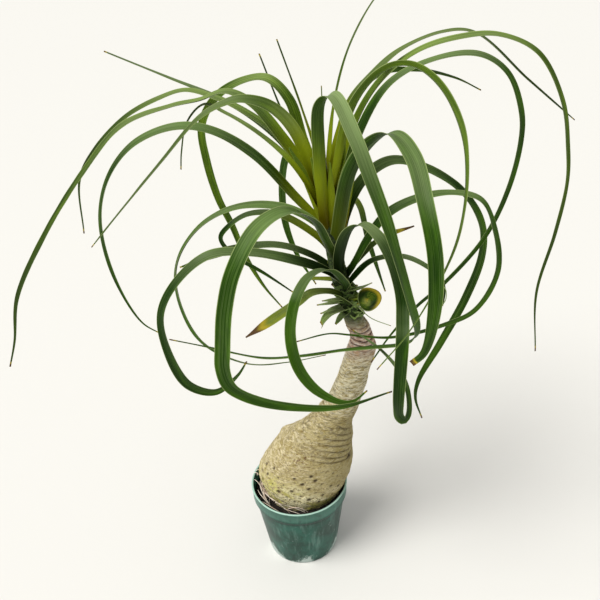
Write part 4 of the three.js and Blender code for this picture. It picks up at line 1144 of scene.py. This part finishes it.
def bunch(name, blades, material):
    """Several blades, each given as blade()'s arguments, as one piece."""
    made = []
    for settings in blades:
        made.append(blade(**settings, start=sum(len(points) for points, _, _, _ in made)))
    points, faces, uv, marks = zip(*made)
    values = {key: np.concatenate([np.ravel(mark[key]) for mark in marks]) for key in marks[0]}
    return new_piece(name, np.concatenate(points), sum(faces, []), material, values=values,
                     uv=np.concatenate(uv))


# Each young blade: its widths and the route of its rib, in millimetres.
SHEATHS = [
    ([5, 8, 9, 7, 1.5], [(49.4, 0, 365), (41.4, -3, 405), (30.4, -3, 440), (21.3, 0, 462), (13.6, 3, 477)]),
    ([5, 8, 8, 6, 1.5], [(50.4, -1, 370), (44.1, -6, 411), (36.6, -8, 446), (31.7, -9, 471)]),
    ([5, 8, 8, 6, 1.5], [(49.4, -2, 371), (48.4, -7, 406), (47.6, -9, 441), (47.6, -10, 466)]),
    ([5, 8, 8, 6, 1.5], [(51.3, -1, 370), (53.1, -3, 404), (55.9, -3, 438), (61, -2, 464)]),
    ([5, 8, 8, 6, 1.5], [(52.3, -1, 372), (57.8, -2, 408), (64.9, -1, 441), (73.4, 0, 470)]),
    ([5, 8, 9, 6, 1.5], [(50.8, 2, 377), (48.8, 4, 421), (43.1, 6, 456), (39.9, 8, 480)]),
    ([5, 8, 8, 5, 1.5], [(51.8, 2, 377), (56, 5, 420), (59.8, 8, 452), (62.4, 10, 478)]),
    ([5, 9, 9, 7, 1.5], [(49, 2, 372), (43, 6, 412), (34, 9, 448), (25, 14, 478)]),
]
bunch("heart_blades",
      [dict(route=route, widths=widths, heading=-90, seed=70 + order, dry=0, tone=0.15)
       for order, (widths, route) in enumerate(SHEATHS)], light_leaf)


# ---- Old leaf bases ----
# Every dropped leaf leaves the stump of its sheath behind. The stumps clasp the crown in a spiral like
# scales, pale green and fraying, and some have dried at the tip.

SCALES = 48
SCALES_FROM = 302
SCALES_HEIGHT = 40
LEAF_SPIRAL = 137.5
stub_leaf = leaf_material("leaf_stub", rgb(72, 104, 36), rgb(138, 166, 80), rgb(214, 224, 176))


def scale_settings(order):
    """One old leaf base: a short pointed blade, the order-th in a 137.5 degree spiral up the crown.

    It leaves the stem's surface upwards, bends away from it, and is longer on the left of the crown.
    """
    rng = np.random.default_rng(600 + order)
    z = SCALES_FROM + SCALES_HEIGHT * order / SCALES
    angle = LEAF_SPIRAL * order + rng.uniform(-8, 8)
    centre, half_x, half_y = stem_section(np.array([float(z)]))[0]
    inset = CROWN_SLIMMED * (SPEAR_FROM - z) / 90 + 1
    length = rng.uniform(7, 11) + 4 * bell(turn_from(angle, -150), 0, 50) * rng.uniform(0, 1)
    spread = np.array([0.0, 0.35, 1.0]) * length * rng.uniform(0.15, 0.55)
    rise = np.array([0.0, 0.5, 0.95]) * length * rng.uniform(0.6, 1.0)
    x = centre + (half_x - inset + spread) * math.cos(math.radians(angle))
    y = (half_y - inset + spread) * math.sin(math.radians(angle))
    # The scale's upper side gets painted sheen.
    return dict(route=np.stack([x, y, z + rise], axis=-1), widths=[10, 13, 11, 6], heading=angle, steps=12,
                seed=order, flare=0.1, dry=rng.choice([0, 0, 0.2]), tone=rng.uniform(0.7, 1.6), young=0.0,
                painted_sheen=0.8)


bunch("crown_scales", [scale_settings(order) for order in range(SCALES)], stub_leaf)


# ---- Broken leaves ----
# Leaves that were cut or torn off above the sheath: short stubs round the crown and a yellow one at
# the left. Two hair-thin ends have dried: one of a torn leaf, one of the short leaf at the right.

# Each stub or dry end: its widths and the route of its rib, in millimetres.
BUTTS = [
    ([2, 5, 5, 4, 1.5], [(60, 0, 324), (50, -10, 329), (35, -12, 331)]),
    ([2, 5, 5, 3, 1.5], [(60, 0, 322), (48, -8, 325), (30, -9, 325)]),
    ([2, 4, 4, 3, 1.5], [(60, 0, 320), (48, -10, 320), (33, -12, 317)]),
    ([4, 9, 10, 10, 8], [(63, 0, 313), (53, -11, 318), (44, -14, 317), (37, -15, 311), (34, -14, 305)]),
    ([2, 6, 6, 5, 2], [(62, 0, 310), (54, -12, 312), (47, -15, 306)]),
    ([2, 5, 5, 3, 1.5], [(57, 0, 334), (68, -8, 338), (83, -10, 346)]),
    ([2, 5, 5, 3.5, 1.5], [(61, 0, 318), (66, 10, 326), (72, 20, 328)]),
    ([2, 5, 5, 3.5, 1.5], [(60, 0, 316), (54, 12, 322), (47, 20, 322)]),
    ([1, 1, 0.9, 0.9], [(66, -4, 322), (72.8, -12, 317), (82, -14, 309), (100, -16, 300.7)]),
    ([1, 0.9, 0.9], [(139, -56, 344), (141.6, -58, 352), (141.4, -57, 361), (137, -56, 367)]),
]
bunch("broken_leaf_bases",
      # The stubs' upper sides get painted sheen.
      [dict(route=route, widths=widths, seed=90 + order, dry=0.05, tone=0.9, young=0.1, steps=24,
            painted_sheen=0.5)
       for order, (widths, route) in enumerate(BUTTS)], stub_leaf)
bunch("yellow_leaf_base",
      [dict(route=[(54, 0, 344), (36, 6, 344), (16, 10, 344)], widths=[2, 5, 5, 5, 2.5], seed=99, dry=0.3,
            tone=0.5, young=0.3)], old_leaf)


# ---- Curled leaf ----
# A lower leaf that broke, yellowed and curled up into a little dish beside the crown.
# A short neck still joins it to the stem.

DISH_RADIUS = 11.2
DISH_DEPTH = 4.6
DISH_TILT = math.radians(62)
DISH_PLACE = np.array([79, -14, 331.5])
DISH_HALF_THICKNESS = 0.35
DISH_MIDDLE = 0.05


def dish_rings(sides=72, rows=30):
    """The dish from its middle to the rim and back on the outside, wavy at the rim, tilted to the front.

    At a reach r of its radius it rises by depth * r^2.2 and by the waves of a coil. Returns the points
    and the reach of each.
    """
    reach = np.concatenate([np.linspace(DISH_MIDDLE, 1, rows), np.linspace(1, DISH_MIDDLE, rows)])[:, None]
    face = np.repeat([DISH_HALF_THICKNESS, -DISH_HALF_THICKNESS], rows)[:, None]
    angle = np.linspace(0, 2 * np.pi, sides, endpoint=False)[None, :]
    radius = DISH_RADIUS * reach * (1 + 0.06 * np.sin(3 * angle + 1) * reach)
    coil = 0.7 * np.sin(3.2 * np.pi * reach - angle) * reach
    height = DISH_DEPTH * reach ** 2.2 + 0.5 * np.sin(5 * angle) * reach ** 3 + coil + face
    flat = np.stack([radius * np.cos(angle), radius * np.sin(angle), height], axis=-1)
    turn = np.array([[1, 0, 0], [0, math.cos(DISH_TILT), -math.sin(DISH_TILT)],
                     [0, math.sin(DISH_TILT), math.cos(DISH_TILT)]])
    return (flat @ turn.T + DISH_PLACE) * MM, np.broadcast_to(reach, radius.shape)


rings, reach = dish_rings()
round_dish = np.linspace(0, 2 * np.pi, reach.shape[1])[None]
curl_uv = np.stack([reach * 0.5 + 0.5, reach * 0.2 + np.linspace(0, 1, reach.shape[1])[None]], axis=-1)
# The pale spot low on the dish is a painted highlight.
curl_marks = {"dry": np.clip((reach * 2 - 1.2) * (0.35 + 0.7 * np.cos(round_dish - 0.5)), 0, 0.8),
              "young": 0.1 * reach, "tone": 0.1 - 0.9 * reach + 0.3 * np.sin(2 * round_dish),
              "bloom": bell(reach, 0.3, 0.25) * bell(round_dish, 4, 1)}
curl = new_piece("curled_leaf_dish", rings.reshape(-1, 3), skin(*rings.shape[:2]), old_leaf,
                 values=curl_marks, uv=curl_uv.reshape(-1, 2))
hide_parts("curled_leaf")
neck = bunch("curled_leaf_neck",
             [dict(route=[(61, 0, 322), (68, -10, 329), (78, -14, 332)], widths=[3, 7, 7, 5, 1.5], dry=0.03,
                   tone=0.3, young=0.3)], old_leaf)
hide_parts("curled_leaf")
